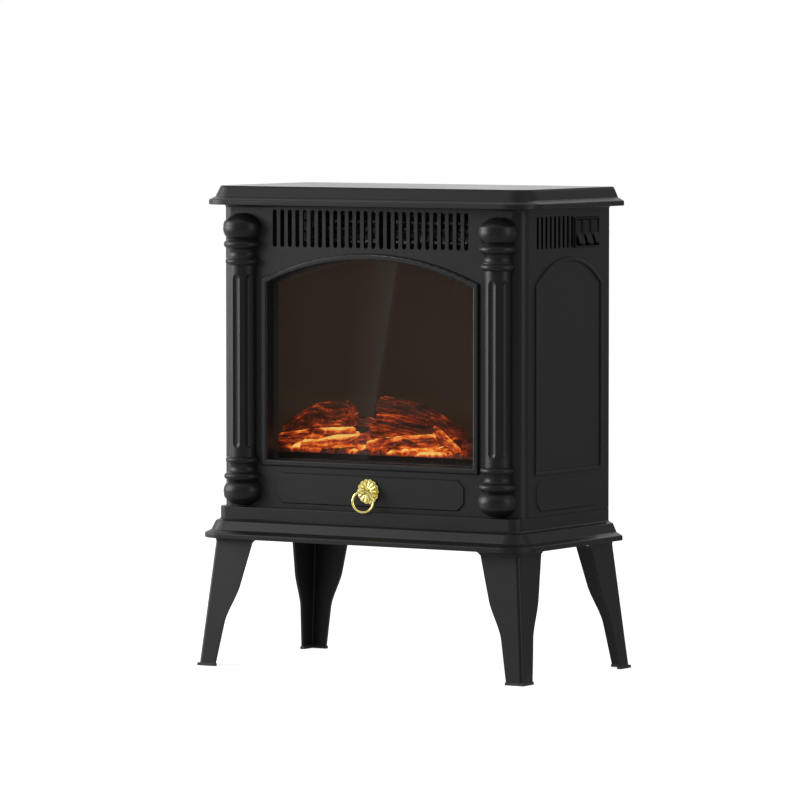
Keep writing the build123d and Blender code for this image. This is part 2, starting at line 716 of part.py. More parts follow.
def leg_corners():
    """Name, plan corner and turn of each leg: +1 or -1 in X and Y."""
    front = RISER - LEG_FRONT_SET
    rear = BACK + LEG_REAR_SET
    x = HALF + LEG_SIDE_SET
    return {
        "front_right": (x, front, 1, -1),
        "front_left": (-x, front, -1, -1),
        "rear_right": (x, rear, 1, 1),
        "rear_left": (-x, rear, -1, 1),
    }


def at_corner(piece, corner):
    """Piece made for the front right corner, turned to face another one."""
    x, y, side_x, side_y = corner
    if side_x < 0:
        piece = mirror(piece, Plane.YZ)
    if side_y > 0:
        piece = mirror(piece, Plane.XZ)
    return Pos(x, y, 0) * piece


def leg_screw_places():
    """Plan places of all the leg screws."""
    places = []
    for x, y, side_x, side_y in leg_corners().values():
        places += [(x + side_x * dx, y - side_y * dy) for dx, dy in leg_holes()]
    return places


def foot_pad():
    """Rubber pad under a foot, a little wider than the angle that stands on it."""
    side = LEG_LEAN + PAD_MARGIN
    arm = LEG_FOOT_WIDTH + 2 * PAD_MARGIN + 0.4
    wide = LEG_WALL + 2 * PAD_MARGIN
    first = Pos(side - arm / 2, -side + wide / 2) * Rectangle(arm, wide)
    second = Pos(side - wide / 2, -side + arm / 2) * Rectangle(wide, arm)
    return extrude(first + second, PAD_HEIGHT)


def column_end(pole, rise, flip):
    """Ball, ring, neck and collar at one end of a column, from its pole to its shaft."""

    def at(radius, share):
        return (radius, pole + flip * rise * share)

    bulge = COLUMN_BALL - 0.9
    crease = COLUMN_BALL - 5.0
    ring_edge = COLUMN_RING - 2.6
    collar_edge = COLUMN_COLLAR - 2.3
    cap = [(0, 0.0), (COLUMN_BALL * 0.52, 0.037), (COLUMN_BALL * 0.87, 0.13), (COLUMN_BALL, 0.255)]
    return [
        Spline(*[at(*point) for point in cap], tangents=[(1, 0), (0, flip)]),
        ThreePointArc(at(COLUMN_BALL, 0.255), at(bulge, 0.4), at(crease, 0.495)),
        Line(at(crease, 0.495), at(ring_edge, 0.53)),
        ThreePointArc(at(ring_edge, 0.53), at(COLUMN_RING, 0.6), at(ring_edge, 0.67)),
        ThreePointArc(at(ring_edge, 0.67), at(COLUMN_SHAFT + 0.3, 0.745), at(COLUMN_SHAFT + 1.6, 0.85)),
        Line(at(COLUMN_SHAFT + 1.6, 0.85), at(collar_edge, 0.868)),
        ThreePointArc(at(collar_edge, 0.868), at(COLUMN_COLLAR, 0.932), at(collar_edge, 0.992)),
        Line(at(collar_edge, 0.992), at(COLUMN_SHAFT, 1.0)),
    ]


def column():
    """Half-round turned column with three flutes, its flat back on the front panel."""
    shaft_top = COLUMN_TOP - COLUMN_END
    shaft_foot = COLUMN_FOOT + COLUMN_FOOT_END
    top_end = column_end(COLUMN_TOP, COLUMN_END, -1)
    foot_end = column_end(COLUMN_FOOT, COLUMN_FOOT_END, 1)
    shaft = Line((COLUMN_SHAFT, shaft_top), (COLUMN_SHAFT, shaft_foot))
    axis_line = Line((0, COLUMN_FOOT), (0, COLUMN_TOP))
    face = Plane.XZ * make_face([*top_end, shaft, *foot_end, axis_line])
    turned = revolve(face, Axis.Z, revolution_arc=360)
    front_half = Pos(0, -50, TOTAL_HEIGHT / 2) * Box(100, 100, TOTAL_HEIGHT)
    flutes = [
        Rot(0, 0, turn) * Pos(0, -(COLUMN_SHAFT + FLUTE_CUTTER - FLUTE_DEPTH), 0) * flute_cutter()
        for turn in (-FLUTE_SPREAD, 0, FLUTE_SPREAD)
    ]
    return Pos(COLUMN_X, FACE, 0) * ((turned & front_half) - flutes)


def flute_cutter():
    """Upright bar with round ends that cuts one flute."""
    end = FLUTE_MARGIN + FLUTE_CUTTER * 0.66
    low = COLUMN_FOOT + COLUMN_FOOT_END + end
    high = COLUMN_TOP - COLUMN_END - end
    bar = Pos(0, 0, (low + high) / 2) * Cylinder(FLUTE_CUTTER, high - low)
    return bar + Pos(0, 0, low) * Sphere(FLUTE_CUTTER) + Pos(0, 0, high) * Sphere(FLUTE_CUTTER)


def column_right():
    """Column on the viewer's right."""
    return column()


def column_left():
    """Column on the viewer's left."""
    return mirror(column(), Plane.YZ)


def window_gasket():
    """Black strip between the lip of the window and the glass."""
    return across(window_face(GASKET_WIDTH) - window_face(0), LIP_DEPTH, GLASS_FRONT)


def glass_pane():
    """Arched sheet of toughened glass behind the gasket."""
    return across(window_face(GLASS_LAP), GLASS_FRONT, GLASS_BACK)


def glass_clips():
    """Four flat clips that hold the glass against the gasket."""
    inner = WINDOW_HALF + 2.5
    outer = WINDOW_HALF + CLIP_REACH + 6
    clips = []
    for x, z in clip_places():
        side = math.copysign(1, x)
        ends = sorted((side * inner, side * outer))
        clip = block(ends, (GLASS_BACK, GLASS_BACK + CLIP_THICK), (z - 6, z + 6))
        hole = Pos(x, FACE + GLASS_BACK, z) * Rot(-90, 0, 0) * Cylinder(SCREW_HOLE, 12)
        clips.append(clip - hole)
    return clips


def clip_screws():
    """Screws that hold the glass clips to their bosses."""
    back = FACE + GLASS_BACK + CLIP_THICK
    short = Cylinder(SCREW_RADIUS - 0.6, 8, align=LOW_END)
    head = Cylinder(SCREW_HEAD, 1.8, align=HIGH_END)
    return [Pos(x, back, z) * Rot(90, 0, 0) * (short + head) for x, z in clip_places()]


def rosette_plate():
    """Scalloped brass backplate of the ring pull, domed in the middle."""
    front = -PANEL_RAISE
    lobe_radius = ROSETTE_RADIUS * math.sin(math.pi / ROSETTE_LOBES)
    circle = ROSETTE_RADIUS - lobe_radius
    disc = Circle(circle)
    lobes = [
        Rot(0, 0, 360 * k / ROSETTE_LOBES) * Pos(circle, 0) * Circle(lobe_radius * 0.98)
        for k in range(ROSETTE_LOBES)
    ]
    rim = extrude(disc + lobes, ROSETTE_THICK * 0.45)
    petals = [
        Rot(0, 0, 360 * k / ROSETTE_LOBES) * Pos(circle * 0.62, 0, ROSETTE_THICK * 0.45)
        * Rot(0, 90, 0) * Cylinder(lobe_radius * 0.62, circle * 0.9)
        for k in range(ROSETTE_LOBES)
    ]
    dome = Pos(0, 0, ROSETTE_THICK * 0.45) * Cone(
        ROSETTE_RADIUS * 0.42, ROSETTE_RADIUS * 0.3, ROSETTE_THICK * 0.55,
        align=LOW_END,
    )
    keep = Cylinder(ROSETTE_RADIUS, ROSETTE_THICK, align=LOW_END)
    body = (rim + petals + dome) & keep
    hole = Cylinder(POST_RADIUS + SLIP, 30)
    return Pos(0, FACE + front, ROSETTE_Z) * Rot(90, 0, 0) * (body - hole)


def ring_post():
    """Brass eye post through the rosette and the front panel."""
    eye_y = FACE - RING_STANDOFF
    nut_end = FACE + FRONT_WALL + NUT_THICK + 2
    shank_front = eye_y + EYE_RADIUS * 0.7
    shank = Pos(0, shank_front, ROSETTE_Z) * Rot(-90, 0, 0) * Cylinder(
        POST_RADIUS, nut_end - shank_front, align=LOW_END
    )
    turned = Pos(0, eye_y, RING_PIVOT_Z) * Rot(0, 0, RING_TURN)
    eye = turned * Rot(0, 90, 0) * Cylinder(EYE_RADIUS, EYE_THICK)
    bore_radius = RING_WIRE + PIN_CLEARANCE
    bore = turned * Rot(0, 90, 0) * Cylinder(bore_radius, EYE_THICK * 3)
    flare = Pos(0, 0, -EYE_THICK / 2 + EYE_FLARE / 2) * Cone(
        bore_radius + EYE_FLARE * 0.8, bore_radius, EYE_FLARE
    )
    flares = [turned * Rot(0, turn, 0) * flare for turn in (90, -90)]
    return shank + eye - bore - flares


def post_nut():
    """Hexagon nut that holds the post behind the front panel."""
    hexagon = extrude(RegularPolygon(NUT_RADIUS, 6), NUT_THICK)
    nut = hexagon - Cylinder(POST_RADIUS + 0.05, 20)
    return Pos(0, FACE + FRONT_WALL, ROSETTE_Z) * Rot(-90, 0, 0) * nut


def ring_pull():
    """Round wire ring that hangs in the eye of the post."""
    centre = Pos(0, FACE - RING_STANDOFF, RING_PIVOT_Z - RING_RADIUS)
    return centre * Rot(0, 0, RING_TURN) * Rot(90, 0, 0) * Torus(RING_RADIUS, RING_WIRE)


def switch_depths():
    """Depth behind the front face of each switch."""
    middle = (SWITCH_COUNT - 1) / 2
    return [SWITCH_MIDDLE + (k - middle) * SWITCH_PITCH for k in range(SWITCH_COUNT)]


def rocker_axis(depth):
    """Point on a rocker's pivot."""
    return (HALF - ROCKER_INSET, FACE + depth, SWITCH_Z)


def switch_housing(depth):
    """Rocker switch body: bezel, open box, pin holes and two blade terminals."""
    half_w = HOUSING_WIDTH / 2
    half_h = HOUSING_HEIGHT / 2
    bezel = block(
        (HALF, HALF + BEZEL_PROUD),
        (depth - BEZEL_WIDTH / 2, depth + BEZEL_WIDTH / 2),
        (SWITCH_Z - BEZEL_HEIGHT / 2, SWITCH_Z + BEZEL_HEIGHT / 2),
    )
    bezel = chamfer(bezel.edges().group_by(Axis.X)[-1], 0.6)
    body = block(
        (HALF - HOUSING_DEPTH, HALF), (depth - half_w, depth + half_w),
        (SWITCH_Z - half_h, SWITCH_Z + half_h),
    )
    hollow = block(
        (HALF - HOUSING_DEPTH + HOUSING_WALL, HALF + BEZEL_PROUD + 1),
        (depth - half_w + HOUSING_WALL, depth + half_w - HOUSING_WALL),
        (SWITCH_Z - half_h + HOUSING_WALL, SWITCH_Z + half_h - HOUSING_WALL),
    )
    pins = Pos(*rocker_axis(depth)) * Rot(90, 0, 0) * Cylinder(
        ROCKER_PIN + PIN_CLEARANCE, HOUSING_WIDTH + 1
    )
    blades = [
        block(
            (HALF - HOUSING_DEPTH - TERMINAL_LENGTH, HALF - HOUSING_DEPTH),
            (depth - 3.1, depth + 3.1), (SWITCH_Z + z - 0.4, SWITCH_Z + z + 0.4),
        )
        for z in (-TERMINAL_SPREAD, TERMINAL_SPREAD)
    ]
    return bezel + body - hollow - pins + blades


def rocker(depth):
    """Rocker with a dished face, tilted so that its top is pressed in."""
    half = ROCKER_HALF
    rise = math.tan(math.radians(ROCKER_TILT)) * half
    dish = ROCKER_DISH
    back = ROCKER_BACK
    lip = dish + rise - back
    face = Polyline(
        (dish, 0), (dish + rise, half), (lip, half), (-back, half - back),
        (-back, back - half), (lip, -half), (dish + rise, -half), close=True,
    )
    width = HOUSING_WIDTH - 2 * HOUSING_WALL - 2 * ROCKER_GAP
    body = extrude(Plane.XZ * make_face(face), width / 2, both=True)
    tips = body.edges().filter_by(Axis.Y).group_by(Axis.X)[-1]
    body = fillet(tips, 0.8)
    pins = Rot(90, 0, 0) * Cylinder(ROCKER_PIN, HOUSING_WIDTH - HOUSING_WALL)
    tilted = Rot(0, -ROCKER_TILT, 0) * (body + pins)
    return Pos(*rocker_axis(depth)) * tilted


def firebox_side():
    """Right wall of the firebox with its foot, head and screen flanges."""
    inner = FIRE_HALF
    outer = FIRE_HALF + FIRE_SHEET
    edge = outer + FIRE_FLANGE
    wall = block((inner, outer), (FIRE_FRONT, FIRE_BACK), (DECK, FIRE_TOP))
    foot = block((inner, edge), (FIRE_FRONT, FIRE_BACK), (DECK, DECK + FIRE_SHEET))
    head = block((inner, edge), (FIRE_FRONT, FIRE_BACK), (FIRE_TOP - FIRE_SHEET, FIRE_TOP))
    stop = block((inner - FIRE_FLANGE, outer), (FIRE_BACK - FIRE_SHEET, FIRE_BACK), (DECK, FIRE_TOP))
    return wall + foot + head + stop


def firebox_side_right():
    """Firebox wall on the right."""
    return firebox_side()


def firebox_side_left():
    """Firebox wall on the left."""
    return mirror(firebox_side(), Plane.YZ)


def firebox_roof():
    """Sheet over the firebox that carries the fan heater, turned down behind."""
    reach = WHEEL_DEPTH + SCROLL_RADIUS + FIRE_FLANGE
    edge = FIRE_HALF + FIRE_SHEET + FIRE_FLANGE
    sheet = block((-edge, edge), (FIRE_FRONT, reach), (FIRE_TOP, FIRE_ROOF))
    lip = block((-edge, edge), (reach - FIRE_SHEET, reach), (FIRE_TOP - FIRE_FLANGE, FIRE_TOP))
    return sheet + lip


def flame_screen():
    """Smoked diffuser sheet that the moving flames are thrown on."""
    back = FIRE_BACK - FIRE_SHEET
    return block((-FIRE_HALF, FIRE_HALF), (back - SCREEN_THICK, back), (DECK, FIRE_TOP))


def hearth_apron():
    """Black front strip of the hearth, seen through the glass below the embers."""
    back = FIRE_FRONT + FIRE_SHEET
    front = block((-FIRE_HALF, FIRE_HALF), (FIRE_FRONT, back), (DECK, APRON_TOP))
    foot = block((-FIRE_HALF, FIRE_HALF), (back, back + FIRE_FLANGE), (DECK, DECK + FIRE_SHEET))
    return front + foot


def bed_section():
    """Front and back points of the ember bed's top, in depth and height."""
    front = FIRE_FRONT + FIRE_SHEET
    back = FIRE_BACK - FIRE_SHEET - SCREEN_THICK - BED_THICK
    return (front, APRON_TOP), (back, APRON_TOP + BED_SLOPE * (back - front))


def depth_plane():
    """Upright plane through the middle of the heater, depth across and height up."""
    return Plane(origin=(0, FACE, 0), x_dir=(0, 1, 0), z_dir=(1, 0, 0))


def ember_bed():
    """Translucent moulded bed that the logs lie on, with a wall down to the deck behind."""
    (front, low), (back, high) = bed_section()
    under = BED_THICK
    skirt = low - 8 * under
    section = Polyline(
        (front, low), (back, high), (back, DECK), (back - under, DECK),
        (back - under, high - under), (front + under, low - under), (front + under, skirt),
        (front, skirt), close=True,
    )
    return extrude(depth_plane() * make_face(section), FIRE_HALF - 1, both=True)


def log(start, end, thick, thin):
    """Tapered log with a slight swell, between two points given as in the list of logs."""
    scale = FIRE_HALF / LOG_SPAN
    a = Vector(start[0] * scale, FACE + start[1], DECK + start[2])
    b = Vector(end[0] * scale, FACE + end[1], DECK + end[2])
    along = b - a
    swell = max(thick, thin) * 1.06
    stations = [(0.0, thick), (0.4, swell), (1.0, thin)]
    circles = [
        Plane(origin=a + along * share, z_dir=along) * Circle(radius) for share, radius in stations
    ]
    return loft(circles, ruled=True)


def log_set():
    """Moulded logs in one pile, cut flat where they lie on the ember bed."""
    (front, low), (back, high) = bed_section()
    tall = 90
    above = Polyline(
        (front, low), (back, high), (back, high + tall), (front, high + tall), close=True
    )
    room = extrude(depth_plane() * make_face(above), FIRE_HALF - 2, both=True)
    first, *others = [log(*sizes) for sizes in LOGS]
    return (first + others) & room


def light_board():
    """Lamp board on four stand-offs under the ember bed."""
    half = HALF - BOARD_SIDE
    low = DECK + BOARD_LIFT
    high = low + 1.6
    depths = (BOARD_DEPTH - BOARD_HALF_DEPTH, BOARD_DEPTH + BOARD_HALF_DEPTH)
    board = block((-half, half), depths, (low, high))
    posts = [
        Pos(x, FACE + BOARD_DEPTH + y, DECK) * Cylinder(2.5, BOARD_LIFT, align=LOW_END)
        for x in (8 - half, half - 8) for y in (-7, 7)
    ]
    pitch = 2 * (half - 13) / (LAMP_COUNT - 1)
    lamps = [
        Pos(13 - half + pitch * k, FACE + BOARD_DEPTH, high + 0.7) * Box(5, 5, 1.4)
        for k in range(LAMP_COUNT)
    ]
    return board + posts + lamps


def flame_mask():
    """Bright sheet with flame-shaped cut-outs, in front of the rotor."""
    back = MASK_DEPTH + MASK_SHEET
    sheet = block((-MASK_HALF, MASK_HALF), (MASK_DEPTH, back), (DECK, DECK + MASK_LIFT))
    foot = block((-MASK_HALF, MASK_HALF), (back, back + FIRE_FLANGE), (DECK, DECK + MASK_SHEET))
    pitch = 2 * MASK_HALF / MASK_FLAMES
    root = ROTOR_Z + 24
    flames = []
    for k in range(MASK_FLAMES):
        x = -MASK_HALF + (k + 0.5) * pitch
        tip = (x + 7 * math.sin(1.7 * k), root + 74 + 18 * math.cos(2.1 * k))
        left = Bezier((x, root), (x - 16, root + 16), (x - 3, root + 36), tip)
        right = Bezier(tip, (x + 12, root + 38), (x + 15, root + 14), (x, root))
        flames.append(across(make_face([left, right]), MASK_DEPTH - 1, MASK_DEPTH + 2))
    return sheet + foot - flames


def rotor_axis(x):
    """Point on the rotor's axis."""
    return (x, FACE + ROTOR_DEPTH, ROTOR_Z)


def flame_rotor():
    """Spindle with bright flags set round it, each turned on from the last."""
    left = BRACKET_X + 4
    right = BRACKET_X + 6
    spindle = Pos(*rotor_axis((right - left) / 2)) * Rot(0, 90, 0) * Cylinder(
        SPINDLE_RADIUS, left + right
    )
    room = BRACKET_X - BRACKET_FOOT - FLAG_LENGTH / 2 - 14
    flags = [
        Pos(*rotor_axis(room * (2 * k / (FLAG_COUNT - 1) - 1))) * Rot(FLAG_TURN * k, 0, 0)
        * Box(FLAG_LENGTH, FLAG_SHEET, 2 * FLAG_REACH)
        for k in range(FLAG_COUNT)
    ]
    return spindle + flags


def rotor_bracket(side):
    """Upright bracket on the deck with a hole for the spindle."""
    plate_x = sorted((side * BRACKET_X, side * (BRACKET_X - BRACKET_SHEET)))
    foot_x = sorted((side * BRACKET_X, side * (BRACKET_X - BRACKET_FOOT)))
    depths = (ROTOR_DEPTH - BRACKET_HALF, ROTOR_DEPTH + BRACKET_HALF)
    plate = block(plate_x, depths, (DECK, ROTOR_Z + BRACKET_HALF))
    foot = block(foot_x, depths, (DECK, DECK + BRACKET_SHEET))
    hole = Pos(*rotor_axis(side * BRACKET_X)) * Rot(0, 90, 0) * Cylinder(BUSH_RADIUS, BRACKET_FOOT)
    return plate + foot - hole


def rotor_bearing():
    """Left bracket of the rotor with its plain bush."""
    bush = Pos(*rotor_axis(-BRACKET_X - 1)) * Rot(0, 90, 0) * Cylinder(BUSH_RADIUS, 9)
    bore = Pos(*rotor_axis(-BRACKET_X)) * Rot(0, 90, 0) * Cylinder(SPINDLE_RADIUS + PIN_CLEARANCE, 30)
    return rotor_bracket(-1) + bush - bore


def rotor_motor():
    """Slow synchronous motor on the right bracket, turning the rotor."""
    start = BRACKET_X
    can = Pos(*rotor_axis(start + 1)) * Rot(0, 90, 0) * Cylinder(
        MOTOR_RADIUS, MOTOR_THICK, align=LOW_END
    )
    can = chamfer(can.edges().group_by(Axis.X)[-1], 1.5)
    ears = block(
        (start, start + 1), (ROTOR_DEPTH - 9, ROTOR_DEPTH + 9),
        (ROTOR_Z - MOTOR_RADIUS - 8, ROTOR_Z + MOTOR_RADIUS + 8),
    )
    bore = Pos(*rotor_axis(start)) * Rot(0, 90, 0) * Cylinder(SPINDLE_RADIUS + PIN_CLEARANCE, 16)
    return can + ears - bore


def rotor_mount():
    """Right bracket that carries the rotor motor."""
    return rotor_bracket(1)


def heater_duct():
    """Sheet duct from the blower to the front slots."""
    outer = block((-DUCT_HALF, DUCT_HALF), (FRONT_WALL, DUCT_END), (FIRE_ROOF, DUCT_TOP))
    inner = block(
        (-DUCT_HALF + DUCT_SHEET, DUCT_HALF - DUCT_SHEET), (FRONT_WALL - 1, DUCT_END + 1),
        (FIRE_ROOF + DUCT_SHEET, DUCT_TOP - DUCT_SHEET),
    )
    return outer - inner


def ribbon(z):
    """Zigzag heating ribbon along the duct at one height."""
    end = DUCT_HALF - DUCT_SHEET - SLIP - MICA / 2
    step = 2 * end / RIBBON_TEETH
    tops = [
        (-end + k * step, z + RIBBON_SWING * (1 if k % 2 else -1)) for k in range(RIBBON_TEETH + 1)
    ]
    lower = [(x, height - RIBBON_SHEET) for x, height in reversed(tops)]
    face = make_face(Polyline(*tops, *lower, close=True))
    return across(face, RIBBON_DEPTH - RIBBON_WIDTH / 2, RIBBON_DEPTH + RIBBON_WIDTH / 2)


def heating_element():
    """Mica end boards and a middle board with zigzag ribbons between them."""
    low = FIRE_ROOF + DUCT_SHEET
    high = DUCT_TOP - DUCT_SHEET - SLIP
    end = DUCT_HALF - DUCT_SHEET - SLIP
    depths = (RIBBON_DEPTH - 12, RIBBON_DEPTH + 12)
    spans = [(-end, MICA - end), (-MICA / 2, MICA / 2), (end - MICA, end)]
    boards = [block(span, depths, (low, high)) for span in spans]
    pitch = (high - low) / (RIBBON_ROWS + 0.6)
    rows = [ribbon(low + (k + 0.8) * pitch) for k in range(RIBBON_ROWS)]
    return boards[0] + boards[1:] + rows


def wheel_axis(x):
    """Point on the blower wheel's axis."""
    return (x, FACE + WHEEL_DEPTH, WHEEL_Z)


def blower_housing():
    """Scroll, tongue and end plates round the blower wheel."""
    half = HOUSING_HALF
    sheet = SCROLL_SHEET
    rear = WHEEL_DEPTH + SCROLL_RADIUS + sheet
    floor = block((-half, half), (DUCT_END, WHEEL_DEPTH), (FIRE_ROOF, FIRE_ROOF + sheet))
    ring = Cylinder(SCROLL_RADIUS + sheet, 2 * half) - Cylinder(SCROLL_RADIUS, 2 * half)
    ring = Pos(*wheel_axis(0)) * Rot(0, 90, 0) * ring
    sector = block((-half, half), (WHEEL_DEPTH, rear), (FIRE_ROOF, WHEEL_Z + SCROLL_RADIUS / 2))
    tongue = block((-half, half), (DUCT_END, DUCT_END + 9), (DUCT_TOP - DUCT_SHEET, DUCT_TOP))
    curl = block((-half, half), (DUCT_END, DUCT_END + DUCT_SHEET), (DUCT_TOP, DUCT_TOP + 9))
    ends = [
        block((x, x + sheet), (DUCT_END, rear), (FIRE_ROOF, WHEEL_Z + WHEEL_RADIUS))
        for x in (-half - sheet, half)
    ]
    bore = Pos(*wheel_axis(0)) * Rot(0, 90, 0) * Cylinder(2 * SHAFT_RADIUS, 4 * half)
    return floor + (ring & sector) + tongue + curl + ends - bore


def blade_face():
    """Curved section of one blade, drawn beyond the wheel's centre along X."""
    outer = WHEEL_RADIUS - SLIP
    inner = outer - BLADE_CHORD
    middle = (inner + outer) / 2
    lean = BLADE_LEAN
    front = ThreePointArc((inner, -lean), (middle, lean / 3), (outer, lean))
    back = ThreePointArc(
        (outer, lean + BLADE_SHEET), (middle, lean / 3 + BLADE_SHEET), (inner, BLADE_SHEET - lean)
    )
    tip = Line((outer, lean), (outer, lean + BLADE_SHEET))
    root = Line((inner, BLADE_SHEET - lean), (inner, -lean))
    return make_face([front, tip, back, root])


def blower_wheel():
    """Long cross-flow wheel: curved blades between discs, on a through shaft."""
    blade = extrude(blade_face(), WHEEL_HALF, both=True)
    blades = [Rot(0, 0, 360 * k / WHEEL_BLADES) * blade for k in range(WHEEL_BLADES)]
    discs = [Pos(0, 0, z) * Cylinder(WHEEL_RADIUS, 1.2) for z in (-WHEEL_HALF, 0, WHEEL_HALF)]
    shaft_low = HOUSING_HALF + 26
    shaft_high = HOUSING_HALF + 9
    shaft = Pos(0, 0, (shaft_high - shaft_low) / 2) * Cylinder(SHAFT_RADIUS, shaft_low + shaft_high)
    wheel = shaft + discs + blades
    return Pos(*wheel_axis(0)) * Rot(0, 90, 0) * wheel


def blower_bearing():
    """Plain bearing of the blower wheel on the right end plate."""
    x = HOUSING_HALF + SCROLL_SHEET
    cup = Pos(*wheel_axis(x)) * Rot(0, 90, 0) * Cylinder(
        8.0, 10, align=LOW_END
    )
    bore = Pos(*wheel_axis(x)) * Rot(0, 90, 0) * Cylinder(SHAFT_RADIUS + PIN_CLEARANCE, 60)
    return cup - bore


def blower_motor():
    """Shaded-pole motor: laminated stack with its two bearing straps and stand-offs."""
    x = -HOUSING_HALF - SCROLL_SHEET
    near, far = x - 8, x - 8 - CORE_THICK
    core = block(
        (far, near), (WHEEL_DEPTH - CORE_HALF, WHEEL_DEPTH + CORE_HALF),
        (WHEEL_Z - CORE_TALL, WHEEL_Z + CORE_TALL),
    )
    window = block((far - 1, near + 1), (WHEEL_DEPTH + 8, WHEEL_DEPTH + 20), (WHEEL_Z - 14, WHEEL_Z + 14))
    straps = [
        block(ends, (WHEEL_DEPTH - 22, WHEEL_DEPTH + 4), (WHEEL_Z - 6, WHEEL_Z + 6))
        for ends in ((far - 2, far), (near, near + 2))
    ]
    posts = [
        Pos(x, FACE + WHEEL_DEPTH - 18, WHEEL_Z + z) * Rot(0, -90, 0)
        * Cylinder(2.5, 8, align=LOW_END)
        for z in (-16, 16)
    ]
    bore = Pos(*wheel_axis(x)) * Rot(0, 90, 0) * Cylinder(SHAFT_RADIUS + PIN_CLEARANCE, 80)
    return core - window + straps + posts - bore


def blower_coil():
    """Winding on the outer limb of the motor's stack."""
    x = -HOUSING_HALF - SCROLL_SHEET
    near, far = x - 8, x - 8 - CORE_THICK
    coil = block(
        (far - 5, near + 5), (WHEEL_DEPTH + 14.4, WHEEL_DEPTH + CORE_HALF + 5.6),
        (WHEEL_Z - 13, WHEEL_Z + 13),
    )
    limb = block(
        (far - SLIP, near + SLIP), (WHEEL_DEPTH + 20 - SLIP, WHEEL_DEPTH + CORE_HALF + SLIP),
        (WHEEL_Z - 20, WHEEL_Z + 20),
    )
    return chamfer(coil.edges().filter_by(Axis.Z), 2.0) - limb


def thermal_cutout():
    """Round overheat cut-out on top of the heater duct, with two tags."""
    x = CUTOUT_X
    depth = RIBBON_DEPTH + 4
    base = Pos(x, FACE + depth, DUCT_TOP) * Cylinder(8.0, 5.0, align=LOW_END)
    ears = block((x - 14, x + 14), (depth - 2.5, depth + 2.5), (DUCT_TOP, DUCT_TOP + 0.8))
    tags = [
        block((x + y - 3, x + y + 3), (depth - 0.4, depth + 0.4), (DUCT_TOP + 5, DUCT_TOP + 12))
        for y in (-4, 4)
    ]
    return base + ears + tags


def terminal_block():
    """Mains terminal block on the deck near the cord inlet."""
    high = DECK + BLOCK_TALL
    back = BACK_INNER - 14
    middle = back - BLOCK_WIDE / 2
    half = BLOCK_LONG / 2
    body = block((INLET_X - half, INLET_X + half), (back - BLOCK_WIDE, back), (DECK, high))
    wells = [Pos(INLET_X + x, FACE + middle, high) * Cylinder(2.8, 8) for x in (-12, 0, 12)]
    return body - wells


def leg_screws():
    """Screws up through the legs' tabs into the pan."""
    low = LEG_HEIGHT - LEG_TAB_SHEET
    return [Pos(x, y, low) * screw(7.5) for x, y in leg_screw_places()]


def top_screws():
    """Screws up through the side panels' top flanges into the top plate."""
    low = CORNICE_BOTTOM - SIDE_SHEET
    return [Pos(x, y, low) * screw(5.0) for x, y in flange_screws()]


def deck_screws():
    """Screws down through the side panels' foot flanges into the deck."""
    high = DECK + SIDE_SHEET
    return [Pos(x, y, high) * Rot(180, 0, 0) * screw(5.0) for x, y in flange_screws()]


def back_screws():
    """Screws through the back panel into the side panels' rear flanges."""
    return [Pos(x, BACK, z) * Rot(90, 0, 0) * screw(5.0) for x, z in back_screw_places()]


def save(name, piece):
    """Write one sub-part, a single solid or a group of separate ones."""
    pieces = piece if isinstance(piece, list) else [piece]
    solids = [solid for one in pieces for solid in one.solids()]
    export_step(Compound(children=solids), f"parts/{name}.step")


def build():
    """Every sub-part by name."""
    parts = {
        "top_plate": top_plate(),
        "front_panel": front_panel(),
        "side_panel_left": side_panel_left(),
        "side_panel_right": side_panel_right(),
        "back_panel": back_panel(),
        "base_plinth": base_plinth(),
        "base_pan": base_pan(),
        "column_left": column_left(),
        "column_right": column_right(),
        "window_gasket": window_gasket(),
        "glass_pane": glass_pane(),
        "glass_clips": glass_clips(),
        "clip_screws": clip_screws(),
        "rosette_plate": rosette_plate(),
        "ring_post": ring_post(),
        "post_nut": post_nut(),
        "ring_pull": ring_pull(),
        "firebox_side_left": firebox_side_left(),
        "firebox_side_right": firebox_side_right(),
        "firebox_roof": firebox_roof(),
        "flame_screen": flame_screen(),
        "hearth_apron": hearth_apron(),
        "ember_bed": ember_bed(),
        "log_set": log_set(),
        "light_board": light_board(),
        "flame_mask": flame_mask(),
        "flame_rotor": flame_rotor(),
        "rotor_bearing": rotor_bearing(),
        "rotor_motor": rotor_motor(),
        "rotor_mount": rotor_mount(),
        "heater_duct": heater_duct(),
        "heating_element": heating_element(),
        "blower_housing": blower_housing(),
        "blower_wheel": blower_wheel(),
        "blower_bearing": blower_bearing(),
        "blower_motor": blower_motor(),
        "blower_coil": blower_coil(),
        "thermal_cutout": thermal_cutout(),
        "terminal_block": terminal_block(),
        "cord_bushing": cord_bushing(),
        "leg_screws": leg_screws(),
        "top_screws": top_screws(),
        "deck_screws": deck_screws(),
        "back_screws": back_screws(),
    }
    for name, corner in leg_corners().items():
        shape = rear_leg() if name.startswith("rear") else leg()
        parts[f"leg_{name}"] = at_corner(shape, corner)
        parts[f"foot_pad_{name}"] = at_corner(foot_pad(), corner)
    for name, depth in zip(("flame", "low_heat", "high_heat"), switch_depths()):
        parts[f"switch_{name}"] = switch_housing(depth)
        parts[f"rocker_{name}"] = rocker(depth)
    return parts


os.makedirs("parts", exist_ok=True)
for part_name, part in build().items():
    save(part_name, part)
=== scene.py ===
"""Looks of a compact stove-shaped electric fireplace heater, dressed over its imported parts.

Lengths are metres in the part's own frame: x to the viewer's right, y from the window to the back and
z up from the floor. The logs and the ember bed are built here as surfaces. Every other piece is the
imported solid, and only its material is made here.
"""

import json
import math

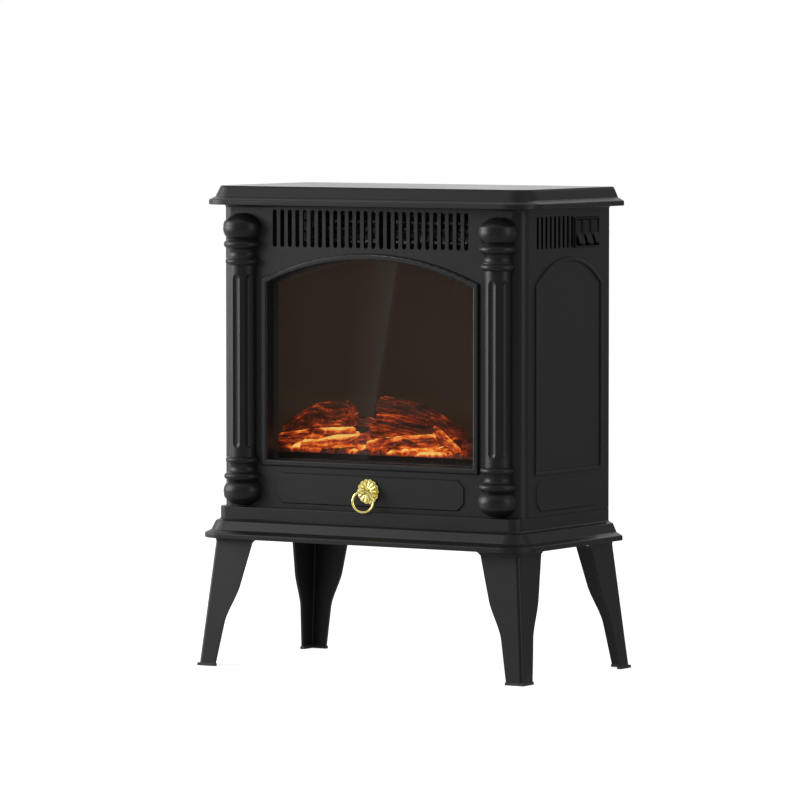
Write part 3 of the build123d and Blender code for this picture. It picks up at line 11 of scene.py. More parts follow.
import bpy
import numpy as np
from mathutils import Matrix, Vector


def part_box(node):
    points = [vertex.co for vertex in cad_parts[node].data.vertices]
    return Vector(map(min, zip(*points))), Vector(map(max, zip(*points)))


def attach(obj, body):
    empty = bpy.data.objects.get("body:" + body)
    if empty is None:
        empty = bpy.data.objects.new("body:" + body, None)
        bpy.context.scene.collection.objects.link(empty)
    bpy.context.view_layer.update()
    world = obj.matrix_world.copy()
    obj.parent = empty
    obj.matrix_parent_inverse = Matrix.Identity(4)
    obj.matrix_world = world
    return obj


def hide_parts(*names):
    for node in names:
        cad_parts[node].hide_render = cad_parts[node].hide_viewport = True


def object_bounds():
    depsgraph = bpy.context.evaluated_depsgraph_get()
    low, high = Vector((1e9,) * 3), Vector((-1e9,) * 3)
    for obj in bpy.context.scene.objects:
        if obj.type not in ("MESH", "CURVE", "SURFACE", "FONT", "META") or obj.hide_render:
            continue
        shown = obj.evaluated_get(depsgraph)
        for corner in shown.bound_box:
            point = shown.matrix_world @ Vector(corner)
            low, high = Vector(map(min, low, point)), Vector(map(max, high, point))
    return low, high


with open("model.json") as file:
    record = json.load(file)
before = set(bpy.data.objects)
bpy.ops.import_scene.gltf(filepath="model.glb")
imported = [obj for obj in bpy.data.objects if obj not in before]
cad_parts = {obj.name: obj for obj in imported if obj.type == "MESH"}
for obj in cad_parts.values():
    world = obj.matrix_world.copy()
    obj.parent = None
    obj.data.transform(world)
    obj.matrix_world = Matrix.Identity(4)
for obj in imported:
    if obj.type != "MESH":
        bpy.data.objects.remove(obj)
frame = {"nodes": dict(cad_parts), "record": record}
cad_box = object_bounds()

MM = 0.001

# The front panel's face stands this far behind the foremost moulding
FRONT_REACH = 0.0272
FACE = cad_box[0][1] + FRONT_REACH

# Camera: its y is counted from the front panel's face, its angles are degrees
CAMERA_PLACE = (3.40476, -5.38804, 0.66924)
CAMERA_TURN = 32.0
CAMERA_DOWN = 3.4
CAMERA_LENS = 271.8
CAMERA_SENSOR = 36.0
CAMERA_CLIP = 60.0
PICTURE_SIZE = 800

# A line of sight shifts sideways by this share of the depth that it crosses
SIGHT_SHIFT = 0.62
PANE_DEPTH = 0.020


def camera():
    """Camera in front of the heater and to its right, looking slightly down."""
    data = bpy.data.cameras.new("camera")
    data.lens = CAMERA_LENS
    data.sensor_width = CAMERA_SENSOR
    data.clip_end = CAMERA_CLIP
    view = bpy.data.objects.new("camera", data)
    x, y, z = CAMERA_PLACE
    view.location = (x, y + FACE, z)
    view.rotation_euler = (math.radians(90 - CAMERA_DOWN), 0, math.radians(CAMERA_TURN))
    bpy.context.scene.collection.objects.link(view)
    bpy.context.scene.camera = view


# Node helpers

# Colour sockets of a Mix node
MIX_FIRST, MIX_SECOND, MIX_RESULT = 6, 7, 2


class Tree:
    """A node tree with short calls for adding and joining nodes."""

    def __init__(self, tree):
        self.tree = tree

    def add(self, kind, inputs=None, **settings):
        """New node with its settings made and the given inputs set or joined."""
        node = self.tree.nodes.new(kind)
        for key, value in settings.items():
            setattr(node, key, value)
        for key, value in (inputs or {}).items():
            self.put(node.inputs[key], value)
        return node

    def put(self, socket, value):
        """Join an output to a socket, or set the socket to a constant; colours get a full alpha."""
        if isinstance(value, bpy.types.NodeSocket):
            self.tree.links.new(value, socket)
        elif isinstance(value, tuple) and len(value) == 3 and len(socket.default_value) == 4:
            socket.default_value = (*value, 1.0)
        else:
            socket.default_value = value

    def math(self, operation, first, second, clamp=False):
        """Result of a Math node."""
        node = self.add("ShaderNodeMath", operation=operation, use_clamp=clamp)
        self.put(node.inputs[0], first)
        self.put(node.inputs[1], second)
        return node.outputs[0]

    def plus(self, first, second, clamp=False):
        """Sum of two values."""
        return self.math("ADD", first, second, clamp)

    def minus(self, first, second, clamp=False):
        """First value less the second."""
        return self.math("SUBTRACT", first, second, clamp)

    def times(self, first, second):
        """Product of two values."""
        return self.math("MULTIPLY", first, second)

    def mix(self, share, first, second):
        """Colour between two colours."""
        node = self.add("ShaderNodeMix", data_type="RGBA")
        self.put(node.inputs["Factor"], share)
        self.put(node.inputs[MIX_FIRST], first)
        self.put(node.inputs[MIX_SECOND], second)
        return node.outputs[MIX_RESULT]

    def noise(self, place, scale, detail=3.0, rough=0.55, distortion=0.0):
        """Cloudy value from 0 to 1, mostly near 0.5."""
        inputs = {
            "Vector": place,
            "Scale": scale,
            "Detail": detail,
            "Roughness": rough,
            "Distortion": distortion,
        }
        return self.add("ShaderNodeTexNoise", inputs).outputs["Fac"]

    def steps(self, value, low, high, start=0.0, end=1.0):
        """Value brought from low..high to start..end and held there."""
        node = self.add("ShaderNodeMapRange", clamp=True)
        keys = ("Value", "From Min", "From Max", "To Min", "To Max")
        for key, item in zip(keys, (value, low, high, start, end)):
            self.put(node.inputs[key], item)
        return node.outputs["Result"]

    def bump(self, strength, depth, height):
        """Normal of a surface raised by a height from 0 to 1 that stands for a depth in metres."""
        node = self.add("ShaderNodeBump", {"Strength": strength, "Distance": depth, "Height": height})
        return node.outputs["Normal"]

    def ramp(self, value, stops):
        """Colour on a scale of (place, colour) stops, which run from 0 to 1."""
        node = self.add("ShaderNodeValToRGB")
        bands = node.color_ramp.elements
        ends = (bands[0], stops[0]), (bands[1], stops[-1])
        for band, (place, colour) in ends:
            band.position = place
            band.color = (*colour, 1.0)
        for place, colour in stops[1:-1]:
            bands.new(place).color = (*colour, 1.0)
        self.put(node.inputs[0], value)
        return node.outputs["Color"]


def group(name, inputs, outputs):
    """New shader node group with named sockets: its tree, input node and output node."""
    tree = bpy.data.node_groups.new(name, "ShaderNodeTree")
    for title, kind, value in inputs:
        socket = tree.interface.new_socket(title, in_out="INPUT", socket_type=kind)
        if value is not None:
            socket.default_value = value
    for title, kind in outputs:
        tree.interface.new_socket(title, in_out="OUTPUT", socket_type=kind)
    t = Tree(tree)
    return t, t.add("NodeGroupInput"), t.add("NodeGroupOutput")


FLOAT, COLOUR, VECTOR = "NodeSocketFloat", "NodeSocketColor", "NodeSocketVector"

# Noise limits that part a cloud into its dark and light share
CLOUD_LOW, CLOUD_HIGH = 0.3, 0.7

# Rubbed edges: agreement of true and bevelled normal on a flat face and on a sharp edge
FLAT_TURN, EDGE_TURN = 0.995, 0.85
EDGE_BREAK_LOW, EDGE_BREAK_HIGH = 0.35, 0.65

# Surface grain: the coarse noise's scale as a share of the fine one's, and how much each counts
COARSE_RATIO = 0.22
FINE_SHARE, COARSE_SHARE = 0.6, 0.4
# Upward part of the normal where a face starts to count as facing up
UP_FROM = 0.55
SPECK_SCALE = 420.0
SPECK_LOW, SPECK_HIGH = 0.5, 0.75


def edge_wear_group():
    """Mask of rubbed edges: the bevelled normal's turn from the true one, broken up by noise."""
    t, source, sink = group(
        "edge_wear",
        [
            ("Vector", VECTOR, None),
            ("Reach", FLOAT, 0.0005),
            ("Break Scale", FLOAT, 60.0),
            ("Amount", FLOAT, 1.0),
        ],
        [("Wear", FLOAT)],
    )
    bevel = t.add("ShaderNodeBevel", {"Radius": source.outputs["Reach"]}, samples=4)
    shape = t.add("ShaderNodeNewGeometry")
    turn = t.add("ShaderNodeVectorMath", operation="DOT_PRODUCT")
    t.put(turn.inputs[0], bevel.outputs["Normal"])
    t.put(turn.inputs[1], shape.outputs["Normal"])
    edge = t.steps(turn.outputs["Value"], FLAT_TURN, EDGE_TURN)
    cloud = t.noise(source.outputs["Vector"], source.outputs["Break Scale"], detail=4.0)
    broken = t.steps(cloud, EDGE_BREAK_LOW, EDGE_BREAK_HIGH)
    t.put(sink.inputs["Wear"], t.times(t.times(edge, broken), source.outputs["Amount"]))
    return t.tree


def grain_group():
    """Surface grain: a height of fine and coarse noise, a slow cloud, dust specks and upward faces."""
    t, source, sink = group(
        "surface_grain",
        [("Vector", VECTOR, None), ("Scale", FLOAT, 900.0), ("Cloud Scale", FLOAT, 9.0)],
        [("Height", FLOAT), ("Cloud", FLOAT), ("Dust", FLOAT), ("Up", FLOAT)],
    )
    place = source.outputs["Vector"]
    fine = t.noise(place, source.outputs["Scale"], detail=2.0)
    coarse = t.noise(place, t.times(source.outputs["Scale"], COARSE_RATIO), detail=2.0)
    t.put(sink.inputs["Height"], t.plus(t.times(fine, FINE_SHARE), t.times(coarse, COARSE_SHARE)))
    t.put(sink.inputs["Cloud"], t.noise(place, source.outputs["Cloud Scale"], detail=5.0, rough=0.6))
    shape = t.add("ShaderNodeNewGeometry")
    split = t.add("ShaderNodeSeparateXYZ", {"Vector": shape.outputs["Normal"]})
    up = t.steps(split.outputs["Z"], UP_FROM, 1.0)
    specks = t.steps(t.noise(place, SPECK_SCALE, rough=0.7), SPECK_LOW, SPECK_HIGH)
    t.put(sink.inputs["Dust"], t.times(up, specks))
    t.put(sink.inputs["Up"], up)
    return t.tree


EDGE_WEAR = edge_wear_group()
GRAIN = grain_group()


# Plain finishes

DUST_COLOUR = (0.30, 0.29, 0.27)
DUST_SHARE = 0.05
RUBBED_SHARE = 0.55
RUBBED_GLOSS = 0.08
CLOUD_TINT = 0.12
GLOSS_CLOUD_LOW, GLOSS_CLOUD_HIGH = 0.25, 0.75
GRAIN_DEPTH = 0.0004

FINISHES = {
    "stove_black": (
        (0.0082, 0.0082, 0.0086),
        (0.032, 0.032, 0.033),
        0.41,
        {"spread": 0.04, "polish": 0.19, "specular": 0.18},
    ),
    "back_black": ((0.011, 0.011, 0.0115), (0.05, 0.05, 0.05), 0.42, {"specular": 0.3}),
    "brass": (
        (0.80, 0.69, 0.24),
        (0.90, 0.82, 0.42),
        0.26,
        {"grain": 1400.0, "bump": 0.06, "metallic": 1.0},
    ),
    "foot_rubber": ((0.012, 0.012, 0.012), (0.03, 0.03, 0.03), 0.75, {}),
    "seal_rubber": ((0.006, 0.006, 0.006), (0.01, 0.01, 0.01), 0.8, {}),
    "switch_black": ((0.004, 0.004, 0.0042), (0.008, 0.008, 0.008), 0.38, {"specular": 0.12}),
    "screw_steel": ((0.42, 0.42, 0.43), (0.6, 0.6, 0.6), 0.35, {"metallic": 1.0}),
    "liner_black": ((0.008, 0.008, 0.008), (0.02, 0.02, 0.02), 0.6, {"specular": 0.2}),
    # Copy of the black liner, which gets a painted glow for the firebox sides
    "liner_painted_glow": ((0.008, 0.008, 0.008), (0.02, 0.02, 0.02), 0.6, {"specular": 0.2}),
    "screen_smoke": ((0.010, 0.007, 0.005), (0.015, 0.01, 0.008), 0.55, {"specular": 0.2}),
    "board_green": ((0.02, 0.12, 0.05), (0.1, 0.2, 0.1), 0.5, {}),
    "flame_foil": ((0.85, 0.85, 0.86), (0.9, 0.9, 0.9), 0.2, {"metallic": 1.0}),
    "galvanised": ((0.12, 0.12, 0.123), (0.25, 0.25, 0.25), 0.5, {"metallic": 0.9}),
    "ribbon_alloy": ((0.030, 0.027, 0.024), (0.05, 0.045, 0.04), 0.7, {"metallic": 0.3}),
    "motor_steel": ((0.35, 0.35, 0.37), (0.5, 0.5, 0.5), 0.4, {"metallic": 1.0}),
    "copper_coil": ((0.5, 0.18, 0.08), (0.6, 0.25, 0.1), 0.35, {}),
    "wheel_alloy": ((0.55, 0.55, 0.57), (0.7, 0.7, 0.7), 0.35, {"metallic": 1.0}),
    "insulation": ((0.14, 0.12, 0.095), (0.18, 0.16, 0.13), 0.65, {}),
}


def new_material(name):
    """New Principled material: the material, its tree, its shader and the place on the object."""
    material = bpy.data.materials.new(name)
    material.use_nodes = True
    t = Tree(material.node_tree)
    shader = material.node_tree.nodes["Principled BSDF"]
    place = t.add("ShaderNodeTexCoord").outputs["Object"]
    return material, t, shader, place


def finish(
    name,
    colour,
    worn,
    rough,
    grain=900.0,
    bump=0.12,
    spread=0.08,
    polish=0.0,
    specular=0.5,
    metallic=0.0,
):
    """Coated or moulded finish: cloudy colour and gloss, fine grain, rubbed edges and a little dust.

    The roughness wanders by spread either way, and polish is what a face that looks up loses of it.
    """
    material, t, shader, place = new_material(name)
    edge = t.add("ShaderNodeGroup", {"Vector": place}, node_tree=EDGE_WEAR).outputs["Wear"]
    surface = t.add("ShaderNodeGroup", {"Vector": place, "Scale": grain}, node_tree=GRAIN).outputs
    darker = tuple(part * (1 - CLOUD_TINT) for part in colour)
    lighter = tuple(part * (1 + CLOUD_TINT) for part in colour)
    base = t.mix(t.steps(surface["Cloud"], CLOUD_LOW, CLOUD_HIGH), darker, lighter)
    base = t.mix(t.times(surface["Dust"], DUST_SHARE), base, DUST_COLOUR)
    base = t.mix(t.times(edge, RUBBED_SHARE), base, worn)
    t.put(shader.inputs["Base Color"], base)
    gloss = t.steps(surface["Cloud"], GLOSS_CLOUD_LOW, GLOSS_CLOUD_HIGH, rough - spread, rough + spread)
    wiped = t.plus(t.times(edge, RUBBED_GLOSS), t.times(surface["Up"], polish))
    t.put(shader.inputs["Roughness"], t.minus(gloss, wiped, clamp=True))
    t.put(shader.inputs["Normal"], t.bump(bump, GRAIN_DEPTH, surface["Height"]))
    shader.inputs["Specular IOR Level"].default_value = specular
    shader.inputs["Metallic"].default_value = metallic
    return material


# Smoked pane, and the painted glow of its haze on the pane and on the liners behind it

# Darker and lighter shade of the painted glow that stands for the pane's lit brown haze
HAZE_GLOW_SHADES = ((0.0255, 0.0172, 0.0108), (0.0290, 0.0198, 0.0128))
# Heights between which this painted glow passes from the liners behind the fire to the pane
HAZE_LOW, HAZE_HIGH = 0.270, 0.292
# Strength of the painted glow on the liners and on the pane at the fire's height
LINER_HAZE_GLOW = 0.85
PANE_HAZE_GLOW = 0.15
# Share of what lies behind that the pane lets through
PANE_CLEAR = 0.58
PANE_BODY = ((0.010, 0.007, 0.005), (0.014, 0.009, 0.007))
PANE_ROUGHNESS = (0.0, 0.02)
PANE_ALPHA = (0.41, 0.43)
# Scales of the clouds that vary the haze, the roughness and the alpha
HAZE_CLOUD, WIPE_CLOUD, ALPHA_CLOUD = 5.0, 3.0, 2.0
ALPHA_CLOUD_LOW, ALPHA_CLOUD_HIGH = 0.2, 0.8


def haze_glow(t, place, cloud, low, high):
    """Painted glow of a lit brown haze, clouded, with the strength low at the fire's height and high
    above it.
    """
    colour = t.mix(t.steps(cloud, CLOUD_LOW, CLOUD_HIGH), *HAZE_GLOW_SHADES)
    split = t.add("ShaderNodeSeparateXYZ", {"Vector": place})
    strength = t.steps(split.outputs["Z"], HAZE_LOW, HAZE_HIGH, low, high)
    return t.mix(strength, (0.0, 0.0, 0.0), colour)


def paint_low_glow(material):
    """Painted glow: let a liner glow brown at the fire's height, where the pane's own painted glow is
    weaker.
    """
    t = Tree(material.node_tree)
    shader = material.node_tree.nodes["Principled BSDF"]
    place = t.add("ShaderNodeTexCoord").outputs["Object"]
    cloud = t.noise(place, HAZE_CLOUD, detail=4.0)
    t.put(shader.inputs["Emission Color"], haze_glow(t, place, cloud, LINER_HAZE_GLOW, 0.0))
    shader.inputs["Emission Strength"].default_value = 1.0 / PANE_CLEAR


def smoked_glass():
    """Smoked pane: mostly see-through, with a dark brown body, a painted glow for its lit haze and a thin
    even shine.
    """
    material, t, shader, place = new_material("smoked_glass")
    cloud = t.noise(place, HAZE_CLOUD, detail=4.0)
    t.put(shader.inputs["Base Color"], t.mix(t.steps(cloud, CLOUD_LOW, CLOUD_HIGH), *PANE_BODY))
    wiped = t.steps(t.noise(place, WIPE_CLOUD), CLOUD_LOW, CLOUD_HIGH, *PANE_ROUGHNESS)
    t.put(shader.inputs["Roughness"], wiped)
    smoke = t.noise(place, ALPHA_CLOUD, detail=2.0)
    t.put(shader.inputs["Alpha"], t.steps(smoke, ALPHA_CLOUD_LOW, ALPHA_CLOUD_HIGH, *PANE_ALPHA))
    # Painted glow: emission that stands for the light that the pane's brown haze scatters
    t.put(shader.inputs["Emission Color"], haze_glow(t, place, cloud, PANE_HAZE_GLOW, 1.0))
    shader.inputs["Emission Strength"].default_value = 1.0
    shader.inputs["Specular IOR Level"].default_value = 1.0
    return material


# Lit resin of the logs and the bed

# Glow by warmth, from char to pale yellow
GLOW_SCALE = [
    (0.0, (0.004, 0.001, 0.0005)),
    (0.28, (0.030, 0.006, 0.002)),
    (0.45, (0.16, 0.016, 0.004)),
    (0.60, (0.50, 0.052, 0.008)),
    (0.74, (0.88, 0.155, 0.016)),
    (0.87, (1.0, 0.36, 0.045)),
    (1.0, (1.0, 0.66, 0.16)),
]
# Skin colour by warmth, as it shows without the glow
CHAR_SCALE = [
    (0.0, (0.020, 0.010, 0.007)),
    (0.4, (0.060, 0.022, 0.012)),
    (0.7, (0.16, 0.045, 0.018)),
    (1.0, (0.30, 0.13, 0.04)),
]
GLOW_STRENGTH = 2.3

# How far grain, patches and cracks move the warmth, and the middle value of each
GRAIN_WARMTH, GRAIN_MIDDLE = 0.22, 0.5
PATCH_WARMTH, PATCH_MIDDLE = 0.55, 0.5
CRACK_WARMTH, CRACK_MIDDLE = 0.16, 0.25
EMBER_GRAIN_SCALE, EMBER_PATCH_SCALE = 420.0, 80.0
# Cracks are the walls of cells, longer sideways, whose place is shifted by noise
CRACK_CELLS = 150.0
CRACK_WIDTH = 0.10
CRACK_SHIFT = (0.006, 0.006, 0.006)
CRACK_SHIFT_SCALE = 120.0
CRACK_STRETCH = (0.45, 1.0, 1.0)

RESIN_BUMP = 0.5
RESIN_DEPTH = 0.0006
RESIN_SPREAD = 0.1


def glow_group():
    """Colours of lit resin by warmth, moved by fine grain, patches and glowing cracks."""
    t, source, sink = group(
        "ember_glow",
        [("Warmth", FLOAT, 0.5), ("Vector", VECTOR, None)],
        [("Glow", COLOUR), ("Char", COLOUR)],
    )
    place = source.outputs["Vector"]
    grain = t.noise(place, EMBER_GRAIN_SCALE, detail=5.0, rough=0.7)
    patch = t.noise(place, EMBER_PATCH_SCALE, detail=5.0, rough=0.62, distortion=0.8)
    drift = t.add("ShaderNodeTexNoise", {"Vector": place, "Scale": CRACK_SHIFT_SCALE})
    shifted = t.add("ShaderNodeVectorMath", operation="MULTIPLY_ADD")
    t.put(shifted.inputs[0], drift.outputs["Color"])
    t.put(shifted.inputs[1], CRACK_SHIFT)
    t.put(shifted.inputs[2], place)
    stretched = t.add("ShaderNodeMapping", {"Vector": shifted.outputs[0], "Scale": CRACK_STRETCH})
    cells = t.add(
        "ShaderNodeTexVoronoi",
        {"Vector": stretched.outputs[0], "Scale": CRACK_CELLS},
        feature="DISTANCE_TO_EDGE",
    )
    crack = t.steps(cells.outputs["Distance"], 0.0, CRACK_WIDTH, 1.0, 0.0)
    warmth = t.plus(source.outputs["Warmth"], t.times(t.minus(grain, GRAIN_MIDDLE), GRAIN_WARMTH))
    warmth = t.plus(warmth, t.times(t.minus(patch, PATCH_MIDDLE), PATCH_WARMTH))
    warmth = t.plus(warmth, t.times(t.minus(crack, CRACK_MIDDLE), CRACK_WARMTH), clamp=True)
    t.put(sink.inputs["Glow"], t.ramp(warmth, GLOW_SCALE))
    t.put(sink.inputs["Char"], t.ramp(warmth, CHAR_SCALE))
    return t.tree


GLOW = glow_group()


def lit_resin(name, rough, grain):
    """Lit moulded resin: glows by its warmth, under a charred rough skin."""
    material, t, shader, place = new_material(name)
    warmth = t.add("ShaderNodeAttribute", attribute_name="warmth").outputs["Fac"]
    ember = t.add("ShaderNodeGroup", {"Vector": place, "Warmth": warmth}, node_tree=GLOW).outputs
    t.put(shader.inputs["Base Color"], ember["Char"])
    t.put(shader.inputs["Emission Color"], ember["Glow"])
    shader.inputs["Emission Strength"].default_value = GLOW_STRENGTH
    fine = t.noise(place, grain, detail=4.0, rough=0.7)
    skin = t.steps(fine, CLOUD_LOW, CLOUD_HIGH, rough - RESIN_SPREAD, rough + RESIN_SPREAD)
    t.put(shader.inputs["Roughness"], skin)
    t.put(shader.inputs["Normal"], t.bump(RESIN_BUMP, RESIN_DEPTH, fine))
    material.cycles.emission_sampling = "NONE"
    return material


def make_materials():
    """All materials by material slot, and liner_painted_glow, the black liner with a painted glow, for
    the firebox sides.
    """
    made = {}
    for name, (colour, worn, rough, others) in FINISHES.items():
        made[name] = finish(name, colour, worn, rough, **others)
    # Painted glow at the fire's height on the flame screen and on the firebox sides' liner
    paint_low_glow(made["screen_smoke"])
    paint_low_glow(made["liner_painted_glow"])
    made["smoked_glass"] = smoked_glass()
    made["log_bark"] = lit_resin("log_bark", rough=0.6, grain=700.0)
    made["embers"] = lit_resin("embers", rough=0.5, grain=500.0)
    return made


MATERIALS = make_materials()


# Grid surfaces


def grid_faces(rows, columns, wrap):
    """Quads of a grid numbered row by row; with wrap the last column joins the first."""
    across = columns if wrap else columns - 1
    r, c = np.meshgrid(np.arange(rows - 1), np.arange(across), indexing="ij")
    right = (c + 1) % columns
    low, high = r * columns, (r + 1) * columns
    corners = np.stack([low + c, low + right, high + right, high + c], -1)
    return corners.reshape(-1, 4)


def tube_faces(rows, columns, start):
    """Quads of a closed tube whose first and last rings are fans to a pole each."""
    body = grid_faces(rows, columns, True) + start
    ring = np.arange(columns)
    turned = np.roll(ring, -1)
    low_pole = start + rows * columns
    high_pole = low_pole + 1
    last = start + (rows - 1) * columns
    foot = np.stack([np.full(columns, low_pole), start + turned, start + ring], -1)
    head = np.stack([np.full(columns, high_pole), last + ring, last + turned], -1)
    return [body, foot, head]


def mesh_piece(name, points, face_blocks, body, material, warmth):
    """Smooth mesh object from point and face arrays, riding on a body of the heater."""
    faces = [face for block in face_blocks for face in block.tolist()]
    mesh = bpy.data.meshes.new(name)
    mesh.from_pydata(points.tolist(), [], faces)
    mesh.polygons.foreach_set("use_smooth", np.full(len(faces), True))
    layer = mesh.attributes.new("warmth", "FLOAT", "POINT")
    layer.data.foreach_set("value", warmth.astype(np.float32))
    mesh.update()
    piece = bpy.data.objects.new(name, mesh)
    mesh.materials.append(material)
    bpy.context.scene.collection.objects.link(piece)
    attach(piece, body)
    return piece


def waves(u, v, seed, count, round_top, along_top):
    """Sum of sines with whole turns round v and any number of turns along u.

    A wave's height is 1 / (1 + its turns both ways). The sum is divided by the root of the summed
    squares of the heights, so that it stays mostly within -1..1.
    """
    rng = np.random.default_rng(seed)
    total = np.zeros(np.broadcast(u, v).shape)
    weight = 0.0
    for _ in range(count):
        turns = rng.integers(0, round_top + 1)
        along = rng.uniform(-along_top, along_top)
        height = 1.0 / (1.0 + turns + abs(along))
        total += height * np.sin(turns * v + 2 * np.pi * along * u + rng.uniform(0, 2 * np.pi))
        weight += height * height
    return total / math.sqrt(weight)


# Logs

# Distance between a log's rings, points in a ring and how often its axis is smoothed
RING_GAP = 0.0010
LOG_SIDES = 96
AXIS_ROUNDS = 12

# Bark: shares of ridge crests, finer ridges and fibres, and the most they come to
CREST_SHARE, FINER_SHARE, FIBRE_SHARE, BARK_MOST = 0.62, 0.28, 0.06, 1.2
CREST_POWER = 0.75
# How far ridges, finer ridges and cross cracks waver
RIDGE_WAVER, FINER_WAVER, CRACK_WAVER = 1.5, 2.2, 0.9
# Cross cracks: how many, the sine under which they open and how deep they cut
CRACKS_PER_METRE = 70
CRACK_OPEN = 0.35
CRACK_DEPTH = 0.45

# Logs' section: height of lobes, least radius and height of bark, all as shares of the radius
LOBE_HEIGHT, BARK_FOOT, BARK_HEIGHT = 0.10, 0.86, 0.20
# Logs' ends, in radii: length of the taper, how far it draws in, unevenness and its reach
TAPER_LENGTH, TAPER_DRAW = 0.22, 0.20
END_UNEVEN, END_REACH = 0.10, 0.15

# Each log: axis points and radii in mm (sideways, depth behind the panel, height), the seed of its
# waves, ridges round it, its warmth, and the glow of ridge crests and the painted highlight on its upper
# side
LOGS = {
    "rear_left": {
        "path": [(-147, 62, 252), (-124, 61, 261), (-97, 60, 269), (-60, 60, 269)],
        "radii": (8.5, 13, 16, 14.5),
        "seed": 3,
        "ridges": 13,
        "glow": (0.41, 0.34, 0.0),
    },
    "rear_right": {
        "path": [(-26, 64, 279), (7, 65, 276.5), (39, 66, 268), (78, 66, 252)],
        "radii": (12, 12, 10, 6),
        "seed": 7,
        "ridges": 12,
        "glow": (0.45, 0.36, 0.04),
    },
    "inner_right": {
        "path": [(-19, 50, 266), (14, 52, 261), (52, 54, 255)],
        "radii": (10, 9.5, 7),
        "seed": 11,
        "ridges": 9,
        "glow": (0.44, 0.34, 0.06),
    },
    "middle_left": {
        "path": [(-143, 47, 243), (-100, 46, 248), (-48, 45, 252)],
        "radii": (6, 6.6, 6),
        "seed": 17,
        "ridges": 8,
        "glow": (0.56, 0.26, 0.50),
    },
    "front_left": {
        "path": [(-109, 39, 235.5), (-68, 38, 241), (-26, 38, 247)],
        "radii": (7, 7.6, 6.2),
        "seed": 23,
        "ridges": 9,
        "glow": (0.54, 0.18, 0.64),
    },
    "front_right": {
        "path": [(-27, 40, 238), (15, 40, 243), (58, 41, 248)],
        "radii": (7.6, 8, 6.8),
        "seed": 29,
        "ridges": 9,
        "glow": (0.55, 0.16, 0.60),
    },
    "leaning_right": {
        "path": [(52, 46, 257), (70, 43, 247), (87, 40, 236)],
        "radii": (6, 5.6, 4.6),
        "seed": 31,
        "ridges": 7,
        "glow": (0.58, 0.25, 0.25),
    },
    "bridge": {
        "path": [(-46, 52, 264), (-30, 54, 263), (-14, 56, 260)],
        "radii": (5.4, 5.2, 4.2),
        "seed": 37,
        "ridges": 7,
        "glow": (0.50, 0.30, 0.05),
    },
    "left_stub": {
        "path": [(-152, 52, 240), (-140, 54, 247), (-122, 57, 252)],
        "radii": (4.2, 5.0, 4.0),
        "seed": 41,
        "ridges": 6,
        "glow": (0.42, 0.30, 0.0),
    },
    "right_stub": {
        "path": [(84, 52, 243), (100, 50, 240), (116, 47, 235)],
        "radii": (5.0, 4.6, 3.6),
        "seed": 43,
        "ridges": 6,
        "glow": (0.38, 0.30, 0.0),
    },
    "behind": {
        "path": [(-44, 70, 250), (-4, 72, 255), (40, 72, 252)],
        "radii": (6.5, 7, 6),
        "seed": 47,
        "ridges": 7,
        "glow": (0.52, 0.25, 0.1),
    },
}

# Relief and crest that count for the two poles of a log
POLE_RELIEF, POLE_CREST = 0.4, 0.2

# What moves a log's warmth: painted light from the bed near it and on undersides, patches, char and
# relief
NEAR_BED_PAINTED_LIGHT = 0.16
LOG_PATCH_WARMTH = 0.08
CHAR_LOSS = 0.26
RELIEF_WARMTH, RELIEF_MIDDLE = 0.28, 0.62
UNDERSIDE_PAINTED_LIGHT, UNDERSIDE_FROM = 0.14, 0.3
# Height of the bed, and the height over it where its painted light on the logs ends
BED_LEVEL, BED_REACH = 232.0, 50.0
# Length and height that stand for one unit of the patches' waves, in mm
PATCH_LENGTH, PATCH_HEIGHT = 60, 5
# Char has somewhat closer waves along and over, and only their tops count
CHAR_ALONG, CHAR_OVER, CHAR_FROM = 1.2, 1.5, 0.1
# Crests glow from this height up, and the painted highlight on the upper side from this sine of the angle
CREST_TOP_FROM, UPPER_FROM, UPPER_WIDTH, UPPER_POWER = 0.82, 0.35, 0.5, 1.3
# Share of the crest glow and of the painted highlight on an even patch, and how much it changes with the
# patch
CREST_EVEN, CREST_PATCHY = 0.45, 0.9
UPPER_EVEN, UPPER_PATCHY = 0.75, 0.5
COOLEST, HOTTEST = 0.02, 1.0

# Painted shade at the window's ends, where the logs' warmth is dimmed: each end's distance from the
# middle, the width of the fade and what is left at the end
LOG_LEFT_END, LOG_LEFT_WIDTH, LOG_LEFT_LEAST = 0.148, 0.040, 0.55
LOG_RIGHT_END, LOG_RIGHT_WIDTH, LOG_RIGHT_LEAST = 0.122, 0.034, 0.40


def bark(u, v, seed, ridges, length):
    """Relief of bark and its ridge crests: long wavering ridges, split by cross cracks, with fibres.

    Crests are 1 - |sin(ridges v / 2 + waver)|, a finer set between them has twice as many, and cracks
    are narrow dips where another |sin| along the log nears zero.
    """
    waver = RIDGE_WAVER * waves(u, v, seed, count=10, round_top=3, along_top=2.5 + 12 * length)
    crest = 1 - np.abs(np.sin(ridges * v / 2 + waver))
    finer_waver = FINER_WAVER * waves(u, v, seed + 1, count=10, round_top=5, along_top=4 + 25 * length)
    finer = 1 - np.abs(np.sin(ridges * v + finer_waver))
    crack_waver = CRACK_WAVER * waves(u, v, seed + 2, count=8, round_top=3, along_top=3.0)
    crack = np.abs(np.sin(np.pi * (CRACKS_PER_METRE * length * u + crack_waver)))
    crack = np.clip(crack / CRACK_OPEN, 0, 1)
    fibre = waves(u, v, seed + 3, count=24, round_top=40, along_top=10)
    ridge = CREST_SHARE * crest**CREST_POWER + FINER_SHARE * finer + FIBRE_SHARE * fibre
    return np.clip(ridge, 0, BARK_MOST) * (1 - CRACK_DEPTH + CRACK_DEPTH * crack), crest


